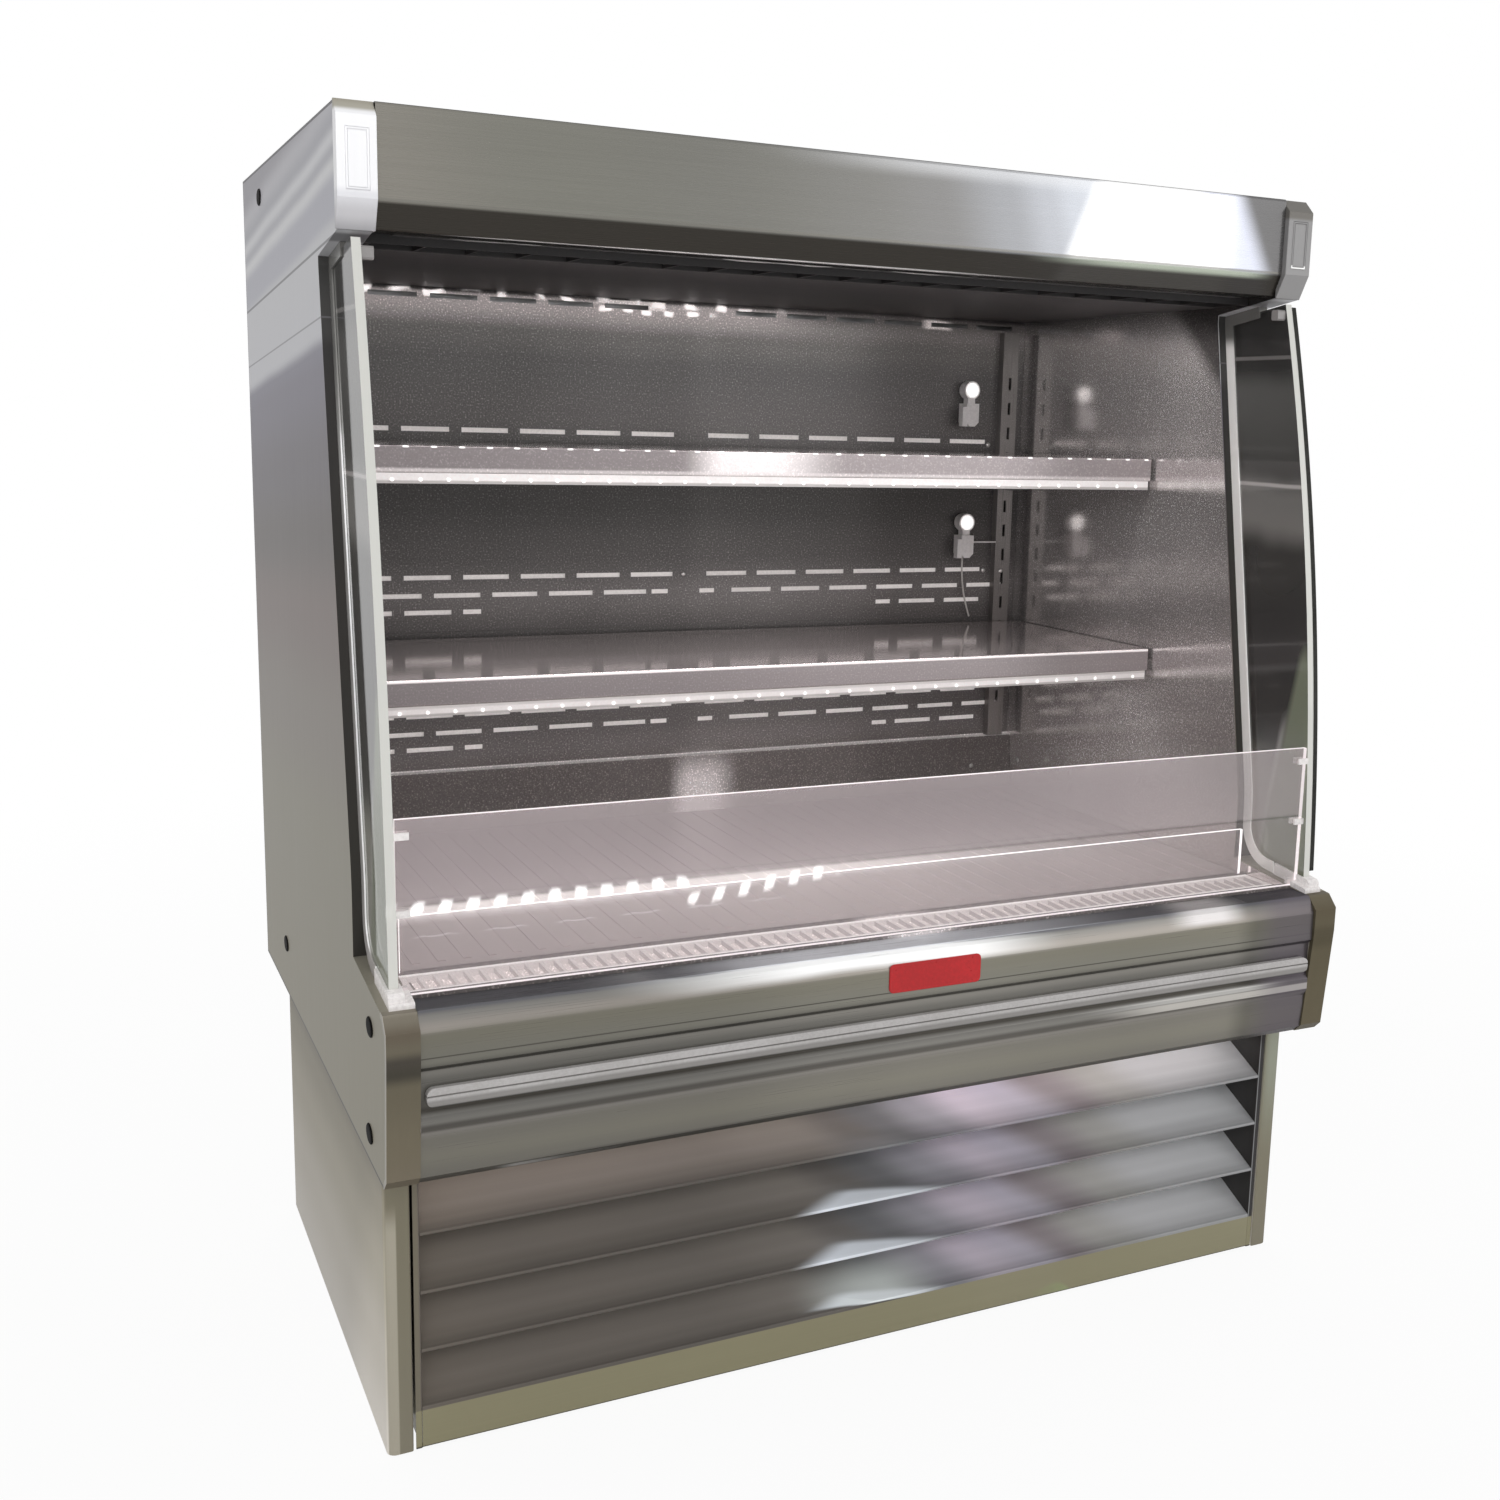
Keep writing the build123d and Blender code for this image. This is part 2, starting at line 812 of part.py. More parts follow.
def glass_shoe_left():
    """Moulded foot that holds the side glass and the end of the front glass."""
    rear = trim_foot_depth - fit_gap
    block_rear = front_glass_depth + front_glass_thickness + 5
    channel_section = polygon(
        (shoe_front_depth, shoulder_height(shoe_front_depth)),
        (rear, shoulder_height(rear)),
        (rear, shoulder_height(rear) + shoe_height),
        (shoe_front_depth + 4, shoulder_height(shoe_front_depth) + shoe_height),
        (shoe_front_depth, shoulder_height(shoe_front_depth) + shoe_height - 4),
    )
    block_section = polygon(
        (shoe_front_depth - 4, shoulder_height(shoe_front_depth - 4)),
        (block_rear, shoulder_height(block_rear)),
        (block_rear, shoulder_height(block_rear) + shoe_block_height),
        (shoe_front_depth - 2, shoulder_height(shoe_front_depth) + shoe_block_height - 2),
        (shoe_front_depth - 4, shoulder_height(shoe_front_depth) + shoe_block_height - 4),
    )
    middle = -end_outer_x + side_glass_centre
    channel = between(channel_section, middle - trim_width / 2 - 2, middle + trim_width / 2 + 2)
    corner = between(block_section, middle - trim_width / 2 - 2, -inner_x)
    return channel + corner - side_glass_slot() - front_glass_slot()


def glass_clips():
    """Four clips that tie the front glass to the side glasses."""
    low = -end_outer_x + side_glass_centre + side_glass_thickness / 2
    clips = []
    for drop in clip_drops:
        height = front_glass_top - drop
        body = block(
            low, low + clip_length, front_glass_depth - clip_wall,
            front_glass_depth + front_glass_thickness + clip_wall,
            height - clip_height / 2, height + clip_height / 2,
        )
        clip = body - front_glass_slot()
        clips += [clip, mirrored(clip)]
    return clips


# Deck

def return_air_grille():
    """Frame with a row of holes that takes the air curtain back in."""
    end = inner_x - slide_gap
    plate = block(
        -end, end, grille_front_depth, grille_front_depth + return_grille_depth,
        deck_seat_height, deck_seat_height + return_grille_height,
    )
    count = int((2 * end - grille_hole_pitch) / grille_hole_pitch)
    middle = front_y + grille_front_depth + return_grille_depth / 2
    holes = Pos(0, middle, deck_seat_height) * repeated(
        GridLocations(grille_hole_pitch, 1, count, 1),
        Rectangle(grille_hole_pitch - grille_bar, grille_hole_length),
    )
    return plate - extrude(holes, return_grille_height)


def product_stop():
    end = inner_x - stop_end_gap
    return block(
        -end, end, stop_depth, stop_depth + stop_thickness,
        deck_seat_height, deck_seat_height + stop_height,
    )


def deck_pan_left():
    """Shallow tray turned over, ribbed from front to back."""
    outer = -inner_x + slide_gap
    inner = -slide_gap / 2
    top = deck_seat_height + pan_height
    tray = block(outer, inner, pan_front_depth, pan_rear_depth, deck_seat_height, top)
    hollow = block(
        outer + sheet, inner - sheet, pan_front_depth + sheet, pan_rear_depth - sheet,
        deck_seat_height, top - sheet,
    )
    count = int((inner - outer - pan_rib_margin) / pan_rib_pitch)
    length = pan_rear_depth - pan_front_depth - 2 * pan_rib_margin
    middle = ((outer + inner) / 2, front_y + (pan_front_depth + pan_rear_depth) / 2, top)
    ribs = Pos(*middle) * repeated(
        GridLocations(pan_rib_pitch, 1, count, 1), Rectangle(pan_rib_width, length)
    )
    return tray - hollow + extrude(ribs, pan_rib_height)


# Shelves

def slot_bottoms():
    """Heights of the lower edges of the standard's slots, set out from the upper shelf."""
    first = upper_shelf_height - sheet - bracket_height + bracket_foot
    steps_down = int((first - rear_bottom_height - 20) / standard_slot_pitch)
    steps_up = int((standard_top_height - first - standard_slot_height) / standard_slot_pitch)
    return [first + step * standard_slot_pitch for step in range(-steps_down, steps_up)]


def hook_heights(shelf_height):
    """The two slots that carry a shelf."""
    lowest = shelf_height - sheet - bracket_height + bracket_foot
    return [lowest, lowest + standard_slot_pitch]


def shelf_standard_left():
    """Upright channel with a row of slots for the bracket hooks."""
    low = -standard_x - standard_width / 2
    high = -standard_x + standard_width / 2
    channel = block(
        low, high, standard_face_depth, rear_panel_depth, rear_bottom_height, standard_top_height
    )
    hollow = block(
        low + standard_thickness, high - standard_thickness,
        standard_face_depth + standard_thickness, rear_panel_depth,
        rear_bottom_height, standard_top_height,
    )
    slots = [
        block(
            -standard_x - standard_slot_width / 2, -standard_x + standard_slot_width / 2,
            standard_face_depth, standard_face_depth + standard_thickness,
            z, z + standard_slot_height,
        )
        for z in slot_bottoms()
    ]
    return channel - hollow - slots


def shelf_tray(height, front):
    """Folded shelf: front band, rear lip and side lips."""
    end = inner_x - shelf_end_gap
    rear = standard_face_depth - shelf_rear_gap
    section = folded(
        [
            (rear, height - 14),
            (rear, height),
            (front, height),
            (front, height - shelf_front_band),
            (front + 14, height - shelf_front_band),
        ],
        sheet, 2.5,
    )
    tray = between(section, -end, end)
    lip = block(
        end - sheet, end, front + 4, rear - 4, height - 14, height - sheet / 2
    )
    notch = block(
        standard_x - bracket_thickness / 2 - fit_gap, standard_x + bracket_thickness / 2 + fit_gap,
        rear - 3, rear, height - 14, height - sheet,
    )
    return tray + lip + mirrored(lip) - notch - mirrored(notch)


def shelf_brackets(height, front):
    """Two tapered arms under a shelf; their hooks sit in the slots of the standards."""
    top = height - sheet
    nose = front + 30
    arm_section = polygon(
        (standard_face_depth, top),
        (nose, top),
        (nose, top - bracket_nose_height),
        (standard_face_depth - 40, top - bracket_height),
        (standard_face_depth, top - bracket_height),
    )
    inside = standard_face_depth + standard_thickness + fit_gap
    hooks = []
    for z in hook_heights(height):
        hooks.append(polygon(
            (standard_face_depth, z + hook_neck_height),
            (standard_face_depth, z),
            (inside, z),
            (inside, z - hook_drop),
            (inside + hook_depth, z - hook_drop),
            (inside + hook_depth, z + hook_neck_height),
        ))
    low = -standard_x - bracket_thickness / 2
    arm = between(arm_section, low, low + bracket_thickness)
    for hook in hooks:
        arm += between(hook, low, low + bracket_thickness)
    return [arm, mirrored(arm)]


def shelf_lamp(height, front):
    """Lamp body under the front band of a shelf, with a rounded lens."""
    top = height - shelf_front_band
    outline = polygon(
        (front, top), (front, top - lamp_height),
        (front + lamp_depth, top - lamp_height), (front + lamp_depth, top),
    )
    lens = outline.vertices().sort_by_distance((front + lamp_depth, top - lamp_height))[0]
    end = inner_x - shelf_end_gap - 4
    return between(fillet(lens, 6), -end, end)


def lamp_socket(height):
    """Receptacle on the rear wall: a tapered body, a side tab and a round cap above."""
    body = block(
        socket_x - socket_width / 2, socket_x + socket_width / 2,
        rear_panel_depth - socket_depth, rear_panel_depth,
        height - socket_height / 2, height + socket_height / 2 - 8,
    )
    bottom_edges = body.edges().group_by(Axis.Z)[0].filter_by(Axis.Y)
    body = chamfer(bottom_edges, socket_width * 0.3)
    tab = block(
        socket_x - socket_width / 2 - 9, socket_x - socket_width / 2,
        rear_panel_depth - socket_depth - 3, rear_panel_depth - socket_depth + 9,
        height - socket_height / 2, height + socket_height / 2 - 14,
    )
    neck = block(
        socket_x - 7, socket_x + 7, rear_panel_depth - 20, rear_panel_depth - 6,
        height + socket_height / 2 - 8, height + socket_height / 2 + 2,
    )
    cap = disc_along_depth(
        socket_x, rear_panel_depth - 22, height + socket_height / 2 + 14, 15, 18, mouth_sides
    )
    return body + tab + neck + cap


def shelf_lamp_sockets():
    """The two receptacles; a short lead ties the lower one to the standard beside it."""
    lead_plane = Plane(
        origin=(
            socket_x + socket_width / 2 - 1, front_y + rear_panel_depth - socket_depth / 2,
            lower_socket_height + 3,
        ),
        z_dir=(1, 0, 0),
    )
    reach = standard_x - standard_width / 2 - socket_x - socket_width / 2 + 1
    link = extrude(lead_plane * RegularPolygon(lead_radius, round_sides), reach)
    return [lamp_socket(upper_socket_height), lamp_socket(lower_socket_height) + link]


def corner_radii(points):
    """Radius at each corner: 0.45 of the shorter run over the tangent of half the turn."""
    radii = []
    for before, corner, after in zip(points, points[1:], points[2:]):
        run_in, run_out = corner - before, after - corner
        half_turn = radians(run_in.get_angle(run_out)) / 2
        radii.append(0.45 * min(run_in.length, run_out.length) / tan(half_turn))
    return radii


def socket_lead():
    """Spare lead that hangs from the lower receptacle and drifts to the right."""
    depth = front_y + rear_panel_depth - 10
    top = lower_socket_height - socket_height / 2
    points = [
        Vector(socket_x, depth, top),
        Vector(socket_x, depth, top - 26),
        Vector(socket_x + 3, depth - 0.5, top - 52),
        Vector(socket_x + 9, depth - 0.5, top - 78),
        Vector(socket_x + 18, depth, top - 102),
    ]
    radii = corner_radii(points)
    print("socket lead radii:", [round(radius) for radius in radii])
    return swept(FilletPolyline(*points, radius=radii), lead_radius)


# Evaporator

def fan_blades(radius, hub_radius, width, count, twist):
    """Fan about the local Z axis: hub with a shaft bore and twisted, rounded blades."""
    hub = extrude(RegularPolygon(hub_radius, round_sides), width)
    root_width = hub_radius * 1.15
    tip_width = radius * 0.72
    span = radius - hub_radius * 0.8
    outline = polygon(
        (hub_radius * 0.8, -root_width / 2),
        (hub_radius * 0.8, root_width / 2),
        (hub_radius * 0.8 + span * 0.55, tip_width * 0.55),
        (radius * 0.94, tip_width * 0.42),
        (radius * 0.94, -tip_width * 0.30),
        (hub_radius * 0.8 + span * 0.4, -tip_width * 0.42),
    )
    blade = Pos(0, 0, width / 2) * Rot(twist, 0, 0) * extrude(outline, 1.2, both=True)
    fan = hub
    for index in range(count):
        fan += Rot(0, 0, index * 360 / count) * blade
    bore = Cylinder(
        fan_shaft_radius + bearing_gap, width - 4, align=(Align.CENTER, Align.CENTER, Align.MIN)
    )
    return fan - bore


def facing_forward(shape, x, depth, z):
    """Put a shape that was drawn about local Z so that its Z runs towards the front."""
    return Plane(origin=(x, front_y + depth, z), x_dir=(1, 0, 0), z_dir=(0, -1, 0)) * shape


def evaporator_fan_height():
    return (tub_floor + deck_seat_height) / 2


def evaporator_fan_shroud():
    """Plate across the tub with a round mouth and a motor bridge for each fan."""
    end = inner_x - tub_end_wall
    plate = block(
        -end, end, evaporator_fan_plate_depth, evaporator_fan_plate_depth + sheet,
        tub_floor, deck_seat_height - 1,
    )
    bridge_depth = evaporator_fan_plate_depth + evaporator_bridge_gap
    for x in (-evaporator_fan_spacing / 2, evaporator_fan_spacing / 2):
        centre_height = evaporator_fan_height()
        mouth = evaporator_fan_radius + evaporator_fan_gap
        plate -= disc_along_depth(
            x, evaporator_fan_plate_depth, centre_height, mouth, sheet, mouth_sides
        )
        for side in (-1, 1):
            bar_x = x + side * 14
            plate += block(
                bar_x - 5, bar_x + 5, bridge_depth, bridge_depth + 3,
                centre_height - mouth - 3, centre_height + mouth + 3,
            )
            for leg in (-1, 1):
                leg_z = centre_height + leg * (mouth + 2)
                plate += block(
                    bar_x - 5, bar_x + 5, evaporator_fan_plate_depth + sheet, bridge_depth,
                    leg_z - 1, leg_z + 1,
                )
    return plate


def evaporator_fan_motors():
    """Two motors behind the shroud, each with its shaft towards the fan."""
    seat = evaporator_fan_plate_depth + evaporator_bridge_gap + 3
    motors = []
    for x in (-evaporator_fan_spacing / 2, evaporator_fan_spacing / 2):
        body = disc_along_depth(
            x, seat, evaporator_fan_height(),
            evaporator_motor_radius, evaporator_motor_length, round_sides,
        )
        body = chamfer(body.edges().group_by(Axis.Y)[-1], 5)
        shaft = disc_along_depth(x, seat - 22, evaporator_fan_height(), fan_shaft_radius, 22)
        motors.append(body + shaft)
    return motors


def evaporator_fan(x):
    rear = evaporator_fan_plate_depth + 20
    fan = fan_blades(evaporator_fan_radius, 14, 20, 4, 32)
    return facing_forward(fan, x, rear, evaporator_fan_height())


def finned_coil(x_low, x_high, depth_low, depth_high, z_low, z_high, pitch):
    """Heat exchanger: a core between end plates, with fins that stand proud of it."""
    recess = 4
    coil = block(
        x_low, x_high, depth_low + recess, depth_high - recess, z_low + recess, z_high - recess
    )
    count = int((x_high - x_low) / pitch)
    step = (x_high - x_low - sheet) / count
    for index in range(count + 1):
        x = x_low + index * step
        coil += block(x, x + sheet, depth_low, depth_high, z_low, z_high)
    return coil


def evaporator_coil():
    coil = finned_coil(
        -evaporator_width / 2, evaporator_width / 2,
        evaporator_front_depth, evaporator_front_depth + evaporator_depth,
        tub_floor, tub_floor + evaporator_height, evaporator_fin_pitch,
    )
    bends = []
    for depth in (60, 140):
        bend_height = tub_floor + evaporator_height / 2
        plane = Plane(
            origin=(evaporator_width / 2, front_y + evaporator_front_depth + depth, bend_height),
            x_dir=(0, 0, 1), z_dir=(0, 1, 0),
        )
        bends.append(swept(plane * CenterArc((0, 0), 22, -90, 180), pipe_radius))
    return coil + bends


# Base

def base_frame():
    """Welded tube frame with the floor plate of the condensing unit."""
    outer = frame_outer_x
    tube = frame_tube
    front = frame_front_depth
    rear = frame_rear_depth
    frame = block(-outer, outer, front, front + tube, 0, tube)
    frame += block(-outer, outer, rear - tube, rear, 0, tube)
    frame += block(-outer, outer, front, front + tube, cabinet_bottom - tube, cabinet_bottom)
    frame += block(-outer, outer, rear - tube, rear, cabinet_bottom - tube, cabinet_bottom)
    for x_low in (-outer, outer - tube):
        for z_low in (0, cabinet_bottom - tube):
            frame += block(x_low, x_low + tube, front, rear, z_low, z_low + tube)
        for depth_low in (front, rear - tube):
            frame += block(
                x_low, x_low + tube, depth_low, depth_low + tube, 0, cabinet_bottom
            )
    floor = block(
        -outer, outer, front, rear, tube - 2 * sheet, tube
    )
    return frame + floor


def base_side_left():
    """Side skin that turns round the front corner and forms the corner post."""
    outer = -half_width + base_side_inset
    section = folded(
        [
            (outer, front_y + base_rear_depth),
            (outer, front_y + base_front_depth),
            (outer + post_width, front_y + base_front_depth),
            (outer + post_width, front_y + base_front_depth + post_return),
        ],
        sheet, [post_corner_radius, 3],
    )
    return extrude(Pos(0, 0, base_floor_gap) * section, cabinet_bottom - base_floor_gap)


def louvre_blade_section(tip_height, bottom=None):
    """Blade that rises inwards; the lowest one carries the kick strip below it."""
    rear = base_front_depth + louvre_depth
    low = tip_height if bottom is None else bottom
    return folded(
        [
            (base_front_depth + louvre_hem, low),
            (base_front_depth, low),
            (base_front_depth, tip_height + louvre_lip),
            (rear, tip_height + louvre_lip + louvre_rise),
        ],
        sheet, 2, left=False,
    )


def louvred_grille():
    """Front grille: four folded blades between side channels that hang on the frame."""
    field = half_width - louvre_edge - louvre_border
    bottom = base_floor_gap + sheet
    top = cabinet_bottom - louvre_top_gap
    grille = between(louvre_blade_section(louvre_lowest, bottom), -field, field)
    for index in range(1, louvre_count):
        tip = louvre_lowest + index * louvre_pitch
        grille += between(louvre_blade_section(tip), -field, field)
    rear = base_front_depth + louvre_depth
    top_start = louvre_lowest + (louvre_count - 1) * louvre_pitch + louvre_lip + louvre_rise
    grille += block(-field, field, rear - sheet, rear, top_start - sheet, top)
    side_section = folded(
        [
            (-field - louvre_border, front_y + base_front_depth),
            (-field, front_y + base_front_depth),
            (-field, front_y + frame_front_depth),
            (-field - louvre_flange, front_y + frame_front_depth),
        ],
        sheet, 2,
    )
    side = extrude(Pos(0, 0, bottom) * side_section, top - bottom)
    return grille + side + mirrored(side)


def rear_grille():
    """Plate that closes the back of the base, with rows of air slots."""
    end = frame_outer_x - fit_gap
    plate = block(
        -end, end, frame_rear_depth, frame_rear_depth + sheet, base_floor_gap, cabinet_bottom
    )
    plane = Plane(
        origin=(0, front_y + frame_rear_depth, cabinet_bottom / 2),
        x_dir=(-1, 0, 0), z_dir=(0, 1, 0),
    )
    across = int(2 * end / rear_slot_pitch)
    rows = int((cabinet_bottom - 2 * frame_tube) / rear_slot_rise)
    slots = plane * repeated(
        GridLocations(rear_slot_pitch, rear_slot_rise, across, rows),
        Rectangle(rear_slot_length, rear_slot_height),
    )
    return plate - extrude(slots, sheet)


# Condensing unit

def unit_floor():
    return frame_tube


def condenser_fan_height():
    return unit_floor() + 8 + condenser_height / 2


def condenser_coil():
    low = condenser_centre - condenser_width / 2
    return finned_coil(
        low, low + condenser_width,
        condenser_front_depth, condenser_front_depth + condenser_depth,
        unit_floor(), unit_floor() + condenser_height + 16, condenser_fin_pitch,
    )


def condenser_fan_shroud():
    """Sheet box behind the coil with a fan mouth and the bar that carries the motor."""
    low = condenser_centre - condenser_width / 2
    high = low + condenser_width
    front = condenser_front_depth + condenser_depth
    rear = front + shroud_depth
    bottom = unit_floor()
    top = bottom + condenser_height + 16
    shroud = block(low, high, front, rear, bottom, top)
    shroud -= block(
        low + sheet, high - sheet, front, rear - sheet, bottom + sheet, top - sheet
    )
    mouth = condenser_fan_radius + condenser_fan_gap
    shroud -= disc_along_depth(
        condenser_centre, rear - sheet, condenser_fan_height(), mouth, sheet, mouth_sides
    )
    bracket_depth = rear + 26
    reach = mouth + 6
    bar = block(-reach, reach, bracket_depth, bracket_depth + 3, -14, 14)
    bar -= disc_along_depth(0, bracket_depth, 0, fan_shaft_radius + 1, 3)
    legs = [
        block(low_x, low_x + 3, rear, bracket_depth, -14, 14) for low_x in (-reach, reach - 3)
    ]
    return shroud + Pos(condenser_centre, 0, condenser_fan_height()) * (bar + legs)


def condenser_fan_motor():
    seat = condenser_front_depth + condenser_depth + shroud_depth + 29
    body = disc_along_depth(
        condenser_centre, seat, condenser_fan_height(),
        condenser_motor_radius - 2, condenser_motor_length, round_sides,
    )
    body = chamfer(body.edges().group_by(Axis.Y)[-1], 8)
    shaft = disc_along_depth(
        condenser_centre, seat - 34, condenser_fan_height(), fan_shaft_radius, 34
    )
    return body + shaft


def condenser_fan():
    rear = condenser_front_depth + condenser_depth + shroud_depth + 18
    fan = fan_blades(condenser_fan_radius, 24, 32, 4, 28)
    return facing_forward(fan, condenser_centre, rear, condenser_fan_height())


def compressor():
    """Hermetic shell with its seam, tube stubs, mounting feet and terminal cover."""
    r = compressor_radius
    h = compressor_height
    foot = compressor_foot_height
    rings = [(0.78, 0), (0.94, 0.06), (1, 0.16), (1, 0.7), (0.88, 0.86), (0.55, 1)]
    flat_share = cos(pi / round_sides)
    shell = []
    for (low_r, low_z), (high_r, high_z) in zip(rings, rings[1:]):
        rise = (high_z - low_z) * h
        lean = degrees(atan((low_r - high_r) * r * flat_share / rise))
        start = Pos(0, 0, low_z * h) * RegularPolygon(low_r * r, round_sides)
        shell.append(extrude(start, rise, taper=lean))
    shell = Part() + shell
    seam = extrude(Pos(0, 0, h * 0.52) * RegularPolygon(r + 4, round_sides), h * 0.04)
    stub = extrude(RegularPolygon(pipe_radius + 3, round_sides // 2), 20 + stub_height)
    stubs = [Pos(x, 0, h - 20) * stub for x in (-r * 0.45, r * 0.45)]
    feet = Box(2 * r + 24, r * 1.7, 4, align=(Align.CENTER, Align.CENTER, Align.MIN))
    pad = extrude(RegularPolygon(11, round_sides // 2), foot)
    pads = [Pos(x, y, -foot) * pad for x in (-r, r) for y in (-r * 0.68, r * 0.68)]
    cover = Pos(0, -r, h * 0.38) * Box(cover_width, cover_depth, cover_height)
    body = shell + seam + stubs + feet + pads + cover
    place = (compressor_x, front_y + compressor_depth_position, unit_floor() + foot)
    return Pos(*place) * body


def tube_along(points):
    """Copper tube of straight runs; each bend is made of two short mitred lengths."""
    corners = [Vector(*point) for point in points]
    path = [corners[0]]
    for before, corner, after in zip(corners, corners[1:], corners[2:]):
        back = (before - corner).normalized() * pipe_bend
        ahead = (after - corner).normalized() * pipe_bend
        path += [corner + back, corner + (back + ahead) * bend_middle, corner + ahead]
    path = Polyline(*path, corners[-1])
    section = Plane(path @ 0, z_dir=path % 0) * RegularPolygon(pipe_radius, pipe_sides)
    return sweep(section, path, transition=Transition.RIGHT)


def refrigerant_lines():
    """Discharge line to the coil, suction line and liquid line up to the tub."""
    y = front_y + compressor_depth_position
    x = compressor_x
    shell_top = unit_floor() + compressor_foot_height + compressor_height
    port = shell_top + stub_height
    coil_side = condenser_centre + condenser_width / 2
    coil_y = front_y + condenser_front_depth + condenser_depth / 2
    discharge = tube_along(
        [
            (x - compressor_radius * 0.45, y, port),
            (x - compressor_radius * 0.45, y, shell_top + line_rise),
            (coil_side + 60, y, shell_top + line_rise),
            (coil_side + 60, coil_y, shell_top + line_rise),
            (coil_side, coil_y, shell_top + line_rise),
        ],
    )
    suction = tube_along(
        [
            (x + compressor_radius * 0.45, y, port),
            (x + compressor_radius * 0.45, y, shell_top + line_rise),
            (x + compressor_radius * 0.45, y + 90, shell_top + line_rise),
            (x + compressor_radius * 0.45, y + 90, cabinet_bottom),
        ],
    )
    liquid = tube_along(
        [
            (coil_side, coil_y, unit_floor() + 60),
            (coil_side + liquid_line_reach, coil_y, unit_floor() + 60),
            (coil_side + liquid_line_reach, coil_y, cabinet_bottom - line_rise),
            (coil_side + liquid_line_reach, coil_y + 60, cabinet_bottom - line_rise),
            (coil_side + liquid_line_reach, coil_y + 60, cabinet_bottom),
        ],
    )
    return [discharge, suction, liquid]


def condensate_pan():
    low = -frame_outer_x + pan_side_gap
    rear = base_rear_depth - pan_rear_gap
    outside = (low, low + pan_width, rear - pan_depth, rear)
    pan = block(*outside, unit_floor(), unit_floor() + pan_wall_height)
    pan = chamfer(pan.edges().filter_by(Axis.Z), pan_corner)
    inside = [edge + side * pan_wall for edge, side in zip(outside, (1, -1, 1, -1))]
    hollow = block(*inside, unit_floor() + pan_wall, unit_floor() + pan_wall_height)
    return pan - chamfer(hollow.edges().filter_by(Axis.Z), pan_corner - pan_wall / 2)


# Control box and its switch

def rocker_pin():
    """Depth and height of the rocker's pin."""
    return control_front_depth + rocker_depth * 0.7, unit_floor() + control_height * 0.7


def control_box():
    """Electrical box behind the grille, with a recess for the rocker switch."""
    low = control_x - control_width / 2
    body = block(
        low, low + control_width, control_front_depth, control_front_depth + control_depth,
        unit_floor(), unit_floor() + control_height,
    )
    depth, height = rocker_pin()
    recess = block(
        control_x - rocker_width / 2 - fit_gap, control_x + rocker_width / 2 + fit_gap,
        control_front_depth, control_front_depth + rocker_depth + 4,
        height - rocker_height / 2 - rocker_end_gap, height + rocker_height / 2 + rocker_end_gap,
    )
    pin_half = rocker_width / 2 + 4
    bore = between(
        Pos(depth, height) * Circle(rocker_pin_radius + bearing_gap),
        control_x - pin_half, control_x + pin_half,
    )
    return body - recess - bore


def rocker_switch():
    """Rocker tilted to one side, on a pin across its recess."""
    depth, height = rocker_pin()
    face = -rocker_depth * 0.7
    half = rocker_height / 2
    rear = rocker_depth * 0.1
    outline = polygon(
        (rear, -half + 4), (face - rocker_proud, -half), (face, 0),
        (face - rocker_proud, half), (rear, half - 4),
    )
    section = Pos(depth, height) * Rot(0, 0, rocker_tilt) * outline
    rocker = between(section, control_x - rocker_width / 2, control_x + rocker_width / 2)
    pin_half = rocker_width / 2 + 3.5
    pin = between(
        Pos(depth, height) * Circle(rocker_pin_radius), control_x - pin_half, control_x + pin_half
    )
    return rocker + pin


